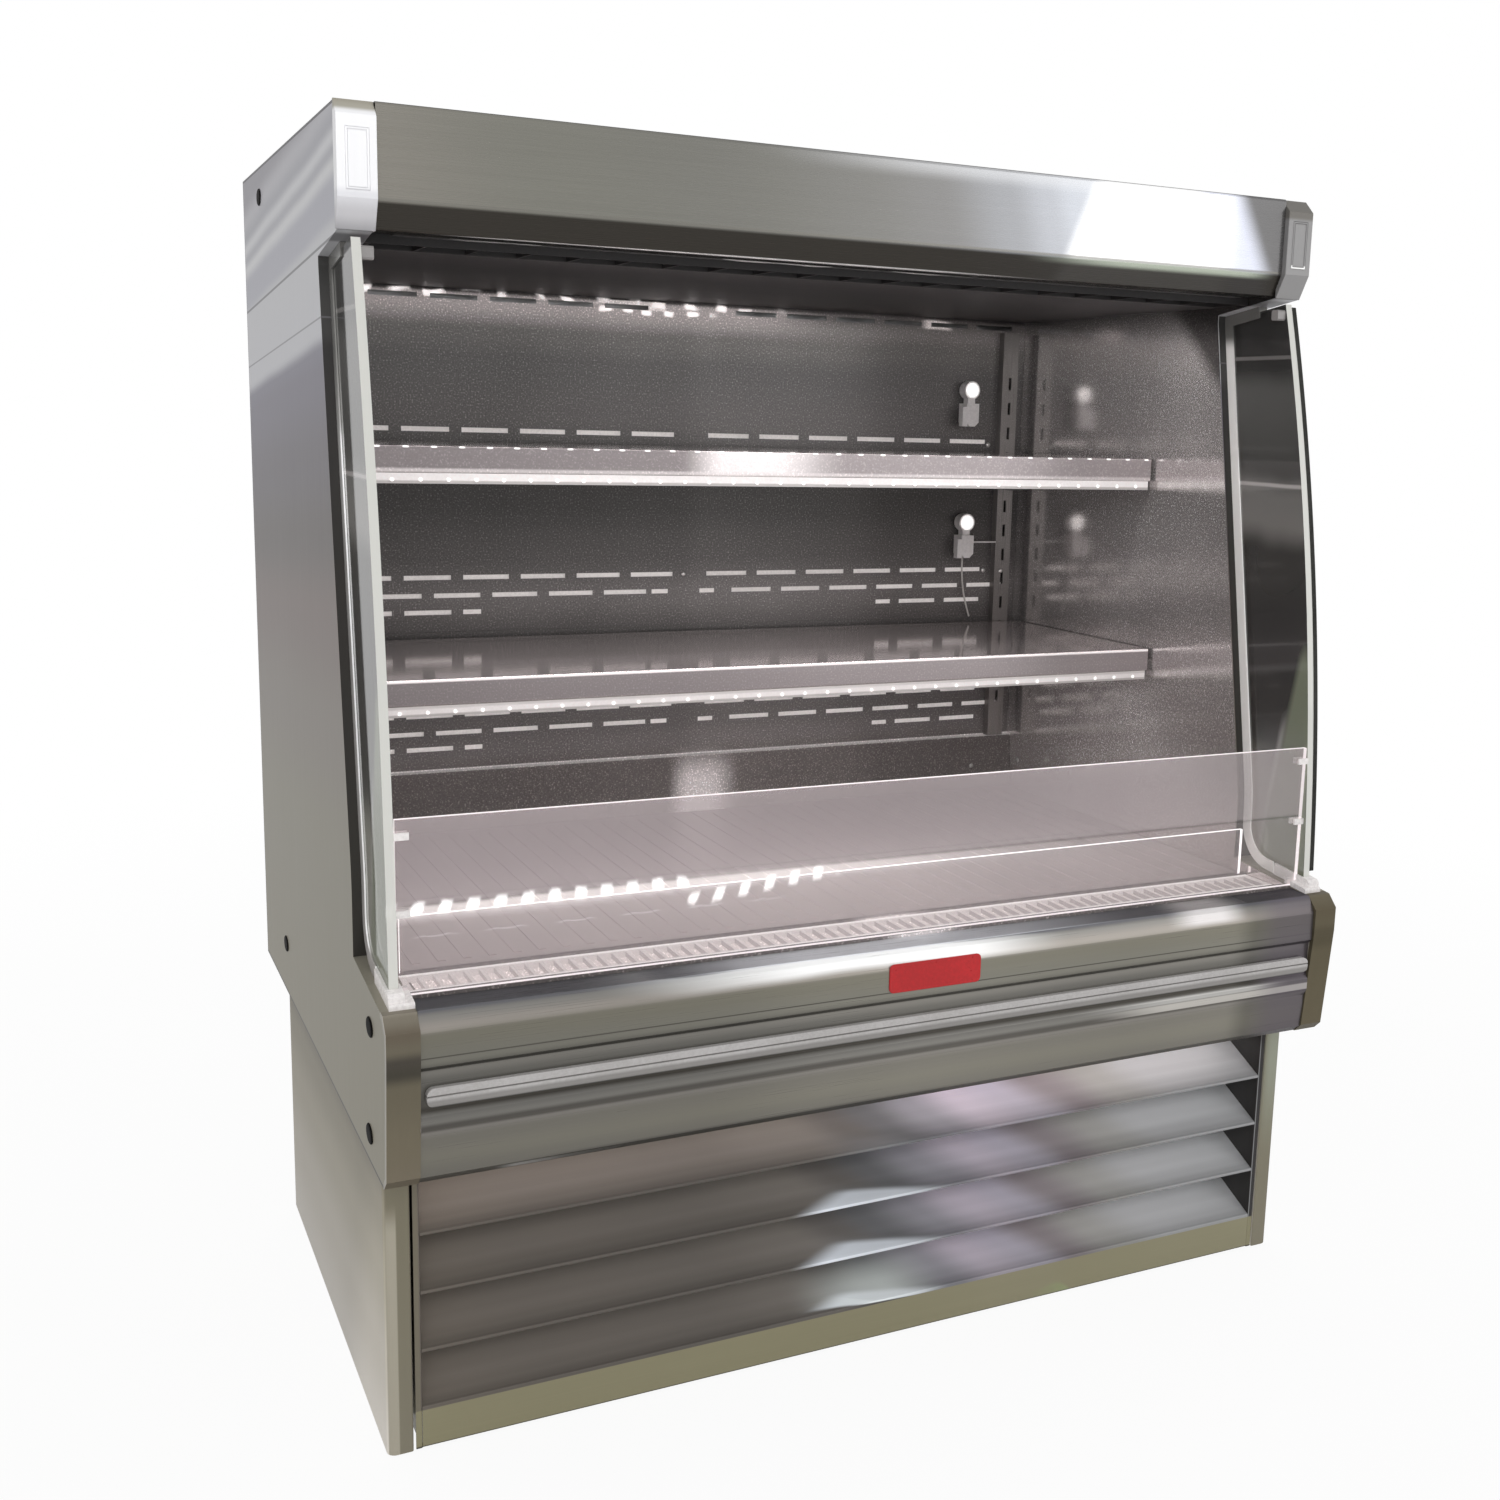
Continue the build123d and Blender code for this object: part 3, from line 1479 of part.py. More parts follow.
def all_parts():
    """Name and solid, or solids, of every sub-part."""
    end_skin = left_end_panel()
    end_liner = left_wall_liner()
    apron_cap = apron_cap_left()
    canopy_cap = canopy_cap_left()
    side_pane = side_glass_left()
    trim = glass_trim_left()
    shoe = glass_shoe_left()
    pan = deck_pan_left()
    standard = shelf_standard_left()
    base_side = base_side_left()
    fan_x = evaporator_fan_spacing / 2
    return {
        "left_end_panel": end_skin,
        "right_end_panel": mirrored(end_skin),
        "left_wall_liner": end_liner,
        "right_wall_liner": mirrored(end_liner),
        "apron_cap_left": apron_cap,
        "apron_cap_right": mirrored(apron_cap),
        "canopy_cap_left": canopy_cap,
        "canopy_cap_right": mirrored(canopy_cap),
        "insulated_tub": insulated_tub(),
        "back_panel": back_panel(),
        "top_panel": top_panel(),
        "ceiling_panel": ceiling_panel(),
        "rear_panel_upper": rear_panel_upper(),
        "rear_panel_lower": rear_panel_lower(),
        "plenum_cover": plenum_cover(),
        "canopy_fascia": canopy_fascia(),
        "canopy_lamp": canopy_lamp(),
        "discharge_honeycomb": discharge_honeycomb(),
        "front_apron": front_apron(),
        "bumper_strip": bumper_strip(),
        "side_glass_left": side_pane,
        "side_glass_right": mirrored(side_pane),
        "glass_trim_left": trim,
        "glass_trim_right": mirrored(trim),
        "glass_shoes": [shoe, mirrored(shoe)],
        "front_glass": front_glass(),
        "glass_clips": glass_clips(),
        "return_air_grille": return_air_grille(),
        "product_stop": product_stop(),
        "deck_pan_left": pan,
        "deck_pan_right": mirrored(pan),
        "shelf_standard_left": standard,
        "shelf_standard_right": mirrored(standard),
        "upper_shelf": shelf_tray(upper_shelf_height, upper_shelf_front),
        "upper_shelf_brackets": shelf_brackets(upper_shelf_height, upper_shelf_front),
        "upper_shelf_lamp": shelf_lamp(upper_shelf_height, upper_shelf_front),
        "lower_shelf": shelf_tray(lower_shelf_height, lower_shelf_front),
        "lower_shelf_brackets": shelf_brackets(lower_shelf_height, lower_shelf_front),
        "lower_shelf_lamp": shelf_lamp(lower_shelf_height, lower_shelf_front),
        "shelf_lamp_sockets": shelf_lamp_sockets(),
        "socket_lead": socket_lead(),
        "evaporator_coil": evaporator_coil(),
        "evaporator_fan_shroud": evaporator_fan_shroud(),
        "evaporator_fan_motors": evaporator_fan_motors(),
        "evaporator_fan_left": evaporator_fan(-fan_x),
        "evaporator_fan_right": evaporator_fan(fan_x),
        "base_frame": base_frame(),
        "base_side_left": base_side,
        "base_side_right": mirrored(base_side),
        "louvred_grille": louvred_grille(),
        "rear_grille": rear_grille(),
        "compressor": compressor(),
        "condenser_coil": condenser_coil(),
        "condenser_fan_shroud": condenser_fan_shroud(),
        "condenser_fan_motor": condenser_fan_motor(),
        "condenser_fan": condenser_fan(),
        "condensate_pan": condensate_pan(),
        "refrigerant_lines": refrigerant_lines(),
        "control_box": control_box(),
        "rocker_switch": rocker_switch(),
    }


os.makedirs("parts", exist_ok=True)
for name, shape in all_parts().items():
    if isinstance(shape, (list, tuple)):
        shape = Compound(children=list(shape))
    export_step(shape, os.path.join("parts", name + ".step"))
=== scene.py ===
import math
import bmesh
import bpy
from mathutils import Matrix, Vector


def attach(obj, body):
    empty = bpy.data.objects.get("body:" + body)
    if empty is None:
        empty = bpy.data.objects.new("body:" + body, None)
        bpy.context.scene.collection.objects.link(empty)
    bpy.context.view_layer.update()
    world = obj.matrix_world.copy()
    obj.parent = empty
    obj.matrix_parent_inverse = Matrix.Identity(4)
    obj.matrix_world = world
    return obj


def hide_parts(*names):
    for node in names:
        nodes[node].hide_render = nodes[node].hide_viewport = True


# Open multideck display fridge. Sizes are in metres; the front faces -Y and Z is up.
# A depth is measured back from the front of the apron caps, as in the part's source.
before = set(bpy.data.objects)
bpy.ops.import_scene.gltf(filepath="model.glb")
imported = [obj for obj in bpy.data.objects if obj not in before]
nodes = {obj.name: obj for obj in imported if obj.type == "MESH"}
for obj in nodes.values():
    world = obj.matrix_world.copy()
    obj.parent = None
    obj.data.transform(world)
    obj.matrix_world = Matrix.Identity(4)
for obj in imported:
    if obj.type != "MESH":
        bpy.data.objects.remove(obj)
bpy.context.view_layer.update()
frontY = -0.45


# Shader building

class Value:  # an output socket that joins in arithmetic like a number
    def __init__(self, graph, socket):
        self.graph = graph
        self.socket = socket

    def joined(self, operation, first, second=0.0):
        return self.graph.node("ShaderNodeMath", {"operation": operation}, {0: first, 1: second})

    def __add__(self, other):
        return self.joined("ADD", self, other)

    def __radd__(self, other):
        return self.joined("ADD", other, self)

    def __sub__(self, other):
        return self.joined("SUBTRACT", self, other)

    def __rsub__(self, other):
        return self.joined("SUBTRACT", other, self)

    def __mul__(self, other):
        return self.joined("MULTIPLY", self, other)

    def __rmul__(self, other):
        return self.joined("MULTIPLY", other, self)

    def __abs__(self):
        return self.joined("ABSOLUTE", self)


class Graph:  # the node tree of one material or world
    def __init__(self, owner):
        self.owner = owner
        self.owner.use_nodes = True
        self.tree = self.owner.node_tree
        self.tree.nodes.clear()
        self.place = self.node("ShaderNodeTexCoord", output="Object")

    def node(self, kind, settings=None, inputs=None, output=0):
        made = self.tree.nodes.new(kind)
        for key, value in (settings or {}).items():
            if key == "stops":
                self.fillRamp(made.color_ramp, value)
            else:
                setattr(made, key, value)
        for key, value in (inputs or {}).items():
            if isinstance(value, Value):
                self.tree.links.new(value.socket, made.inputs[key])
            else:
                made.inputs[key].default_value = value
        return Value(self, made.outputs[output]) if len(made.outputs) else None

    def fillRamp(self, band, stops):
        band.interpolation = "EASE"
        while len(band.elements) > 1:
            band.elements.remove(band.elements[-1])
        for index, (position, colour) in enumerate(stops):
            element = band.elements[0] if index == 0 else band.elements.new(position)
            element.position = position
            element.color = rgb(colour)

    def along(self, direction, source=None):  # distance along a direction, given as (x, y, z)
        settings = {"operation": "DOT_PRODUCT"}
        inputs = {0: source or self.place, 1: direction}
        return self.node("ShaderNodeVectorMath", settings, inputs, output="Value")

    def scaled(self, factors):
        inputs = {0: self.place, 1: factors}
        return self.node("ShaderNodeVectorMath", {"operation": "MULTIPLY"}, inputs)

    def noise(self, vector, scale, detail=2.0, roughness=0.5):
        inputs = {"Vector": vector, "Scale": scale, "Detail": detail, "Roughness": roughness}
        return self.node("ShaderNodeTexNoise", inputs=inputs, output="Fac")

    def rise(self, value, low, high, toLow=0.0, toHigh=1.0):  # eased; low may be above high
        settings = {"interpolation_type": "SMOOTHSTEP"}
        inputs = {0: value, 1: low, 2: high, 3: toLow, 4: toHigh}
        return self.node("ShaderNodeMapRange", settings, inputs)

    def mixed(self, factor, first, second, blend="MIX"):
        settings = {"data_type": "RGBA", "blend_type": blend}
        return self.node("ShaderNodeMix", settings, {0: factor, 6: first, 7: second}, output=2)

    def ramp(self, value, low, high, stops):  # stops are (position in metres, colour)
        share = self.node("ShaderNodeMapRange", {}, {0: value, 1: low, 2: high})
        spread = [((position - low) / (high - low), colour) for position, colour in stops]
        return self.node("ShaderNodeValToRGB", {"stops": spread}, {0: share})

    def tinted(self, colour, factor):
        grey = self.node("ShaderNodeCombineColor", inputs={0: factor, 1: factor, 2: factor})
        return self.mixed(1.0, colour, grey, "MULTIPLY")

    def bump(self, height, strength, distance=0.001):
        inputs = {"Height": height, "Strength": strength, "Distance": distance}
        return self.node("ShaderNodeBump", inputs=inputs)

    def surface(self, inputs):
        shader = self.node("ShaderNodeBsdfPrincipled", inputs=inputs)
        self.node("ShaderNodeOutputMaterial", inputs={"Surface": shader})
        return self.owner


def rgb(colour):  # linear colour from three sRGB numbers out of 255, or from one grey
    if isinstance(colour, (int, float)):
        colour = (colour, colour, colour)
    return tuple((value / 255) ** 2.2 for value in colour) + (1.0,)


# Directions that the tones run in and that surfaces face

across = (1, 0, 0)
leftward = (-1, 0, 0)
back = (0, 1, 0)
frontward = (0, -1, 0)
upward = (0, 0, 1)


# Marks: soft patches of another colour, mostly painted light: a painted reflection such as a mirrored
# lamp, a painted highlight or painted shade; others are a seam or an edge line. Their rises
# are (direction, low, high), with two more numbers where the mark fades out again. A mark may also
# face one way, have a ragged edge, repeat along X as spots of a (pitch, size) that shift or lean,
# break up into flecks, and glow, which makes a painted highlight shine.

facingRise = (0.4, 0.75)  # how squarely a surface faces a direction, for none and all of a mark
spotCore = 0.4  # full part of a spot's radius


def mark(colour, amount, *rises, **options):
    return {"colour": colour, "amount": amount, "rises": rises, **options}


def facingMask(graph, direction):
    normal = graph.node("ShaderNodeTexCoord", output="Normal")
    return graph.rise(graph.along(direction, normal), *facingRise)


def markMask(graph, look, cloud, patches=None):  # 0 to 1, the product of what bounds the mark
    source = patches if "shift" in look else cloud
    mask = look["amount"]
    if "facing" in look:
        mask = facingMask(graph, look["facing"]) * mask
    for direction, *limits in look["rises"]:
        distance = graph.along(direction)
        if "ragged" in look:
            distance = distance + (source - 0.5) * look["ragged"]
        for low, high in zip(limits[::2], limits[1::2]):
            mask = graph.rise(distance, low, high) * mask
    if "pitch" in look:
        pitch, spot = look["pitch"]
        offset = graph.along(look.get("lean", across)) + (source - 0.5) * look.get("shift", 0.0)
        settings = {"operation": "PINGPONG"}
        offset = graph.node("ShaderNodeMath", settings, {0: offset, 1: pitch / 2})
        mask = graph.rise(offset, spot, spot * spotCore) * mask
    if "fleck" in look:
        mask = graph.rise(patches, *look["fleck"]) * mask
    return mask


# Stainless steel: the grain runs along one axis, the tone follows ramps of painted reflection and shade
# with marks over them

finishes = {}
steelUsual = {  # what holds where a finish says nothing else
    "fine": (950.0, 6.0, 3.0, 0.6),  # noise scale across the brushing and along it, detail, roughness
    "coarse": (110.0, 1.6, 2.0, 0.5), "coarseShare": 0.8, "streaks": 0.12, "brush": 0.14,
    "cloudScale": 2.3, "cloud": 0.1, "cloudRoughness": 0.06, "wobble": 0.0, "patchScale": 19.0,
    "brightPoints": (0.58, 0.74), "bump": 0.05, "bumpDistance": 0.0004, "metallic": 0.85,
    "edgeTint": 160, "gloss": 0.4, "glowStrength": 1.0, "over": [], "marks": [],
}


def grainNoise(graph, axis, grain):
    wide, along, detail, roughness = grain
    factors = [along if axis == name else wide for name in "XYZ"]
    return graph.noise(graph.scaled(factors), 1.0, detail, roughness)


def brushedSteel(name, finish):
    finish = {**steelUsual, **finish}
    graph = Graph(bpy.data.materials.new(name))
    fineGrain = grainNoise(graph, finish["grain"], finish["fine"])
    coarseGrain = grainNoise(graph, finish["grain"], finish["coarse"])
    cloud = graph.noise(graph.place, finish["cloudScale"])
    patches = graph.noise(graph.place, finish["patchScale"], detail=1.0)
    direction, low, high, stops = finish["tone"]
    position = graph.along(direction) + (cloud - 0.5) * finish["wobble"]
    tone = graph.ramp(position, low, high, stops)
    for direction, low, high, stops in finish["over"]:
        tone = graph.mixed(1.0, tone, graph.ramp(graph.along(direction), low, high, stops), "MULTIPLY")
    glow = rgb(0)
    for look in finish["marks"]:
        mask = markMask(graph, look, cloud, patches)
        tone = graph.mixed(mask, tone, rgb(look["colour"]))
        # a glowing mark is a painted highlight that shines like a lamp
        if "glow" in look:
            glow = graph.mixed(mask * look["glow"], glow, rgb(look["colour"]))
    coarseAmount = finish["streaks"] * finish["coarseShare"]
    streak = (fineGrain - 0.5) * finish["streaks"] + (coarseGrain - 0.5) * coarseAmount
    streak = streak + (cloud - 0.5) * finish["cloud"] + 1.0
    if "speckle" in finish:  # fine bright points, as on blasted sheet
        size, amount = finish["speckle"]
        points = graph.noise(graph.place, size, detail=1.0)
        bright = graph.rise(points, *finish["brightPoints"])
        streak = streak + (points - 0.5) * amount + bright * amount
    metallic, roughness = finish["metallic"], finish["roughness"]
    if "polish" in finish:  # a smoother and more mirror-like side
        polish = finish["polish"]
        polished = facingMask(graph, polish["facing"])
        tone = graph.mixed(polished, tone, rgb(polish["colour"]))
        metallic = polished * (polish["metallic"] - metallic) + metallic
        roughness = polished * (polish["roughness"] - roughness) + roughness
    roughness = roughness + (fineGrain - 0.5) * finish["brush"]
    inputs = {
        "Base Color": graph.tinted(tone, streak),
        "Metallic": metallic,
        "Roughness": roughness + (cloud - 0.5) * finish["cloudRoughness"],
        "Specular Tint": rgb(finish["edgeTint"]),
        "Specular IOR Level": finish["gloss"],
        "Normal": graph.bump(fineGrain, finish["bump"], finish["bumpDistance"]),
    }
    if isinstance(glow, Value):
        inputs["Emission Color"] = glow
        inputs["Emission Strength"] = finish["glowStrength"]
    finishes[name] = graph.surface(inputs)


print("materials")
brushedSteel("endSteel", {
    # tone: painted reflection, light streaks high up and darker bands lower down
    "grain": "Z", "tone": ((0, 0.08, 1), 0.35, 1.49, [
        (0.36, (153, 148, 133)), (0.65, (154, 150, 138)), (0.8, (150, 144, 138)),
        (0.93, (143, 133, 130)), (1.02, (127, 122, 121)), (1.1, (131, 127, 132)),
        (1.2, (142, 139, 149)), (1.222, (147, 145, 156)), (1.24, (213, 213, 217)),
        (1.335, (213, 213, 216)), (1.352, (192, 192, 200)), (1.38, (191, 191, 199)),
        (1.398, (226, 226, 228)), (1.412, (188, 188, 194)), (1.426, (222, 222, 225)),
        (1.441, (184, 184, 190)), (1.462, (199, 198, 203)), (1.489, (170, 168, 174))]),
    "wobble": 0.03, "cloudScale": 1.6, "roughness": 0.34, "streaks": 0.06, "cloud": 0.05,
    "metallic": 0.35, "edgeTint": 90, "gloss": 0.12,
    "marks": [
        # painted shade on the front edge faces
        mark((60, 59, 57), 0.95, (upward, 0.556, 0.562, 1.362, 1.358), facing=frontward),
        # a dark line along the bottom edge
        mark((84, 83, 82), 0.9, (upward, 0.3555, 0.3545)),
        # two thin painted reflection lines
        mark((104, 102, 106), 0.7, ((0, 0.066, 1), 1.3325, 1.3335, 1.3365, 1.3355)),
        mark((120, 118, 122), 0.6, ((0, 0.07, 1), 1.2585, 1.2592, 1.2612, 1.2605)),
        # dark lines along the outer back and top edges
        mark((82, 81, 84), 0.8, (back, 0.4465, 0.4472), facing=leftward),
        mark((82, 81, 84), 0.8, (upward, 1.4825, 1.4832), facing=leftward),
    ],
})
brushedSteel("canopySteel", {
    # tone: painted reflection, lightest towards the right end
    "grain": "X", "tone": ((1, 0, 0.3), -0.2, 1.06, [
        (-0.18, (131, 128, 121)), (0.0, (125, 124, 117)), (0.25, (121, 120, 115)),
        (0.4, (122, 121, 118)), (0.5, (126, 125, 124)), (0.6, (146, 147, 150)),
        (0.66, (166, 168, 173)), (0.7, (180, 183, 189)), (0.78, (207, 210, 216)),
        (1.05, (176, 176, 178))]),
    "roughness": 0.27, "streaks": 0.1, "cloud": 0.05, "metallic": 0.7,
    "marks": [
        # a painted highlight along the top
        mark((205, 206, 208), 0.55, (upward, 1.462, 1.482), (across, -0.2, 0.1)),
        # a slanted painted reflection
        mark((255, 255, 255), 1.0, ((1, 0, -0.45), -0.38, -0.35), (across, 0.54, 0.49), ragged=0.02),
        # the right end painted darker, with a painted reflection band
        mark((104, 103, 103), 0.95, ((1, 0, 0.5), 1.245, 1.29)),
        mark((214, 218, 236), 0.6, ((1, 0, 0.5), 1.19, 1.225, 1.29, 1.25)),
        # a dark line along the top edge
        mark((84, 83, 82), 0.85, (upward, 1.4846, 1.4852)),
        # painted shade on the lower bevel, with a painted highlight on it
        mark((58, 55, 51), 0.97, (upward, 1.388, 1.384)),
        mark((190, 198, 182), 0.9, (upward, 1.3885, 1.386, 1.377, 1.384),
             (across, 0.18, 0.36, 0.6, 0.54)),
        # a darker line on the bevel
        mark((120, 118, 112), 0.75, (upward, 1.3868, 1.3876, 1.391, 1.389)),
        # a glowing painted highlight along the lip
        mark((206, 204, 203), 0.85, (upward, 1.3596, 1.3588), (back, -0.2745, -0.276),
             (across, -0.6, -0.5, 0.3, 0.0), glow=0.3, ragged=0.006),
    ],
})
brushedSteel("capSteel", {
    # tone: the face painted up to a highlight near the top, the top face painted darker as shade
    "grain": "Z", "tone": (upward, 1.33, 1.49, [
        (1.355, (172, 171, 174)), (1.372, (206, 205, 208)), (1.39, (230, 230, 234)),
        (1.4, (250, 250, 252)), (1.472, (252, 252, 254)), (1.478, (176, 172, 160)),
        (1.488, (160, 155, 142))]),
    "roughness": 0.34, "streaks": 0.04, "cloud": 0.04, "metallic": 0.3, "edgeTint": 110,
    "gloss": 0.2,
    "marks": [
        # right cap: its face painted darker as shade
        mark((152, 151, 151), 1.0, (across, 0.5, 0.52)),
        # its raised border, a glowing painted highlight
        mark((255, 255, 253), 0.95, (across, 0.5, 0.52), (back, -0.3011, -0.3015), (across, 0.612, 0.616),
             glow=0.3),
        mark((250, 250, 248), 0.9, (across, 0.5, 0.52), (back, -0.3005, -0.3009), (upward, 1.4, 1.3985),
             glow=0.2),
        # its top painted darker as shade
        mark((118, 115, 110), 0.9, (across, 0.5, 0.52), (upward, 1.457, 1.463)),
    ],
})
brushedSteel("apronSteel", {
    # tone: painted reflection and shade over the ridges and bevels of the profile
    "grain": "X", "tone": (upward, 0.352, 0.552, [
        (0.352, (112, 108, 102)), (0.362, (124, 121, 114)), (0.385, (134, 131, 121)),
        (0.405, (130, 127, 119)), (0.414, (146, 142, 136)), (0.4185, (100, 97, 92)),
        (0.4215, (98, 95, 91)), (0.427, (134, 132, 127)), (0.434, (122, 120, 116)),
        (0.44, (80, 77, 72)), (0.446, (98, 95, 90)), (0.472, (118, 116, 111)),
        (0.482, (138, 135, 129)), (0.486, (102, 100, 95)), (0.496, (134, 132, 123)),
        (0.524, (134, 131, 119)), (0.532, (162, 156, 149)), (0.544, (140, 138, 134)),
        (0.5485, (112, 112, 116)), (0.552, (128, 128, 132))]),
    # over: painted light across the width, darker at the right end
    "over": [(across, -0.62, 0.62, [
        (-0.62, 226), (-0.3, 228), (-0.1, 250), (0.0, 255), (0.3, 248), (0.47, 255),
        (0.515, 204), (0.56, 176), (0.62, 170)])],
    "wobble": 0.003, "roughness": 0.3, "streaks": 0.1, "metallic": 0.55, "edgeTint": 120,
    "marks": [
        # painted reflections along the nose and upper face
        mark((255, 255, 255), 0.9, ((1, 0, 3.0), 1.2, 1.5), (across, 0.22, 0.02),
             (upward, 0.526, 0.536, 0.5495, 0.547), ragged=0.03),
        mark((226, 222, 222), 0.8, (across, 0.36, 0.42, 0.5, 0.45), (upward, 0.528, 0.536)),
        mark((236, 238, 244), 0.85, (across, -0.36, -0.16, 0.34, 0.0), (upward, 0.5486, 0.5494)),
        # a dark seam line
        mark((74, 71, 67), 0.8, (upward, 0.4987, 0.4992, 0.5006, 0.5001)),
        # painted highlights on the ridge towards the right
        mark((200, 196, 190), 0.85, (upward, 0.4185, 0.42, 0.4292, 0.427), (across, 0.24, 0.38)),
        mark((198, 196, 193), 0.75, (upward, 0.428, 0.43, 0.437, 0.434), (across, 0.2, 0.4, 0.58, 0.5)),
        # a painted highlight along the lower edge at the left
        mark((236, 234, 232), 0.6, (upward, 0.3525, 0.354, 0.3605, 0.358),
             (across, -0.53, -0.5, -0.35, -0.5)),
        # painted shade near the lower edge
        mark((84, 82, 78), 0.6, (upward, 0.3655, 0.3625), (across, -0.52, -0.42, 0.2, -0.1)),
        # the right end painted darker
        mark((120, 112, 122), 0.4, (across, 0.5, 0.56)),
    ],
})
brushedSteel("apronCapSteel", {
    # tone: painted reflection and shade
    "grain": "Z", "tone": (upward, 0.352, 0.552, [
        (0.352, (120, 112, 98)), (0.4, (116, 109, 94)), (0.47, (108, 102, 88)),
        (0.487, (76, 73, 66)), (0.5, (80, 76, 70)), (0.514, (112, 106, 93)),
        (0.53, (108, 100, 88)), (0.545, (128, 122, 110)), (0.552, (150, 144, 132))]),
    "roughness": 0.36, "streaks": 0.08, "metallic": 0.35, "edgeTint": 80, "gloss": 0.12,
    "marks": [
        # a painted highlight on the left cap's outer edge
        mark((196, 193, 186), 0.7, (across, -0.6448, -0.6452)),
        # painted shade on the right cap
        mark((96, 89, 72), 0.7, (across, 0.58, 0.6)),
    ],
})
brushedSteel("louvreSteel", {
    # tone: painted reflection in diagonal bands, lightened against the shade between the blades
    "grain": "X", "tone": ((1, 0.9, 0), -0.98, 0.4, [
        (-0.95, (172, 162, 151)), (-0.75, (162, 154, 146)), (-0.55, (158, 151, 144)),
        (-0.42, (170, 163, 156)), (-0.36, (146, 141, 137)), (-0.3, (148, 148, 150)),
        (-0.22, (198, 196, 204)), (-0.15, (252, 242, 255)), (-0.09, (240, 234, 248)),
        (-0.03, (196, 186, 190)), (0.05, (226, 224, 220)), (0.14, (246, 246, 248)),
        (0.4, (244, 246, 248))]),
    # over: the blade tips painted darker, the faces behind them lighter
    "over": [(back, -0.374, -0.304, [
        (-0.3735, 160), (-0.3712, 166), (-0.3685, 182), (-0.358, 208), (-0.34, 238),
        (-0.32, 255)])],
    "wobble": 0.1, "cloudScale": 3.4, "roughness": 0.34, "streaks": 0.08, "cloud": 0.1,
    "metallic": 0.2, "edgeTint": 140,
    "marks": [
        # glowing painted highlights along the lower blade tips
        mark((226, 232, 240), 0.9, ((1, 7, 0), -2.49, -2.56), ((1, -2.5, 0), 0.79, 0.85),
             (across, 0.12, 0.0), (upward, 0.0505, 0.0525, 0.25, 0.21), glow=0.2, ragged=0.03),
        mark((224, 230, 226), 0.7, (upward, 0.0505, 0.0525), ((-0.05, 0, 1), 0.088, 0.066),
             (across, -0.14, -0.02, 0.1, 0.0), glow=0.12, ragged=0.03),
        mark((176, 178, 182), 0.5, ((1, 5, 0), -1.75, -1.85), (across, -0.12, 0.0, 0.16, 0.02),
             (upward, 0.0505, 0.0525, 0.3, 0.25), ragged=0.07),
        # painted shadow under the apron
        mark((84, 80, 76), 0.6, (upward, 0.306, 0.324)),
        # painted shade on the end flanges and on both side plates
        mark((46, 43, 41), 0.95, facing=leftward),
        mark((40, 37, 36), 0.92, (across, 0.5985, 0.6)),
        mark((120, 114, 100), 0.9, (across, -0.5985, -0.6)),
        # painted reflections on the kick strip, and painted shade along its bottom
        mark((144, 139, 113), 0.95, (upward, 0.0505, 0.0495)),
        mark((150, 166, 120), 0.5, (upward, 0.03, 0.02), (across, 0.22, 0.3, 0.5, 0.38), ragged=0.5),
        mark((60, 57, 52), 0.9, (upward, 0.0062, 0.0048)),
    ],
})
brushedSteel("baseSteel", {
    # tone: painted reflection, lightest near the floor; over: lighter towards the front
    "grain": "Z", "tone": (upward, 0.0, 0.355, [
        (0.0, (236, 230, 220)), (0.12, (216, 209, 196)), (0.22, (194, 187, 170)),
        (0.3, (172, 165, 148)), (0.335, (156, 149, 134)), (0.352, (140, 133, 121))]),
    "over": [((0, 1, 0.5), -0.38, 0.3, [(-0.37, 255), (-0.25, 250), (-0.08, 222), (0.3, 216)])],
    "roughness": 0.38, "streaks": 0.06, "metallic": 0.3, "edgeTint": 80, "gloss": 0.12,
    "marks": [
        # painted shade on the front faces
        mark((126, 121, 105), 0.95, facing=frontward),
        # a painted highlight strip on the left post, and a painted reflection on the right side
        mark((176, 170, 155), 0.9, (across, -0.6225, -0.6245), (upward, 0.31, 0.27), facing=frontward),
        mark((166, 172, 158), 0.6, (across, 0.6, 0.62), (upward, 0.12, 0.3)),
    ],
})
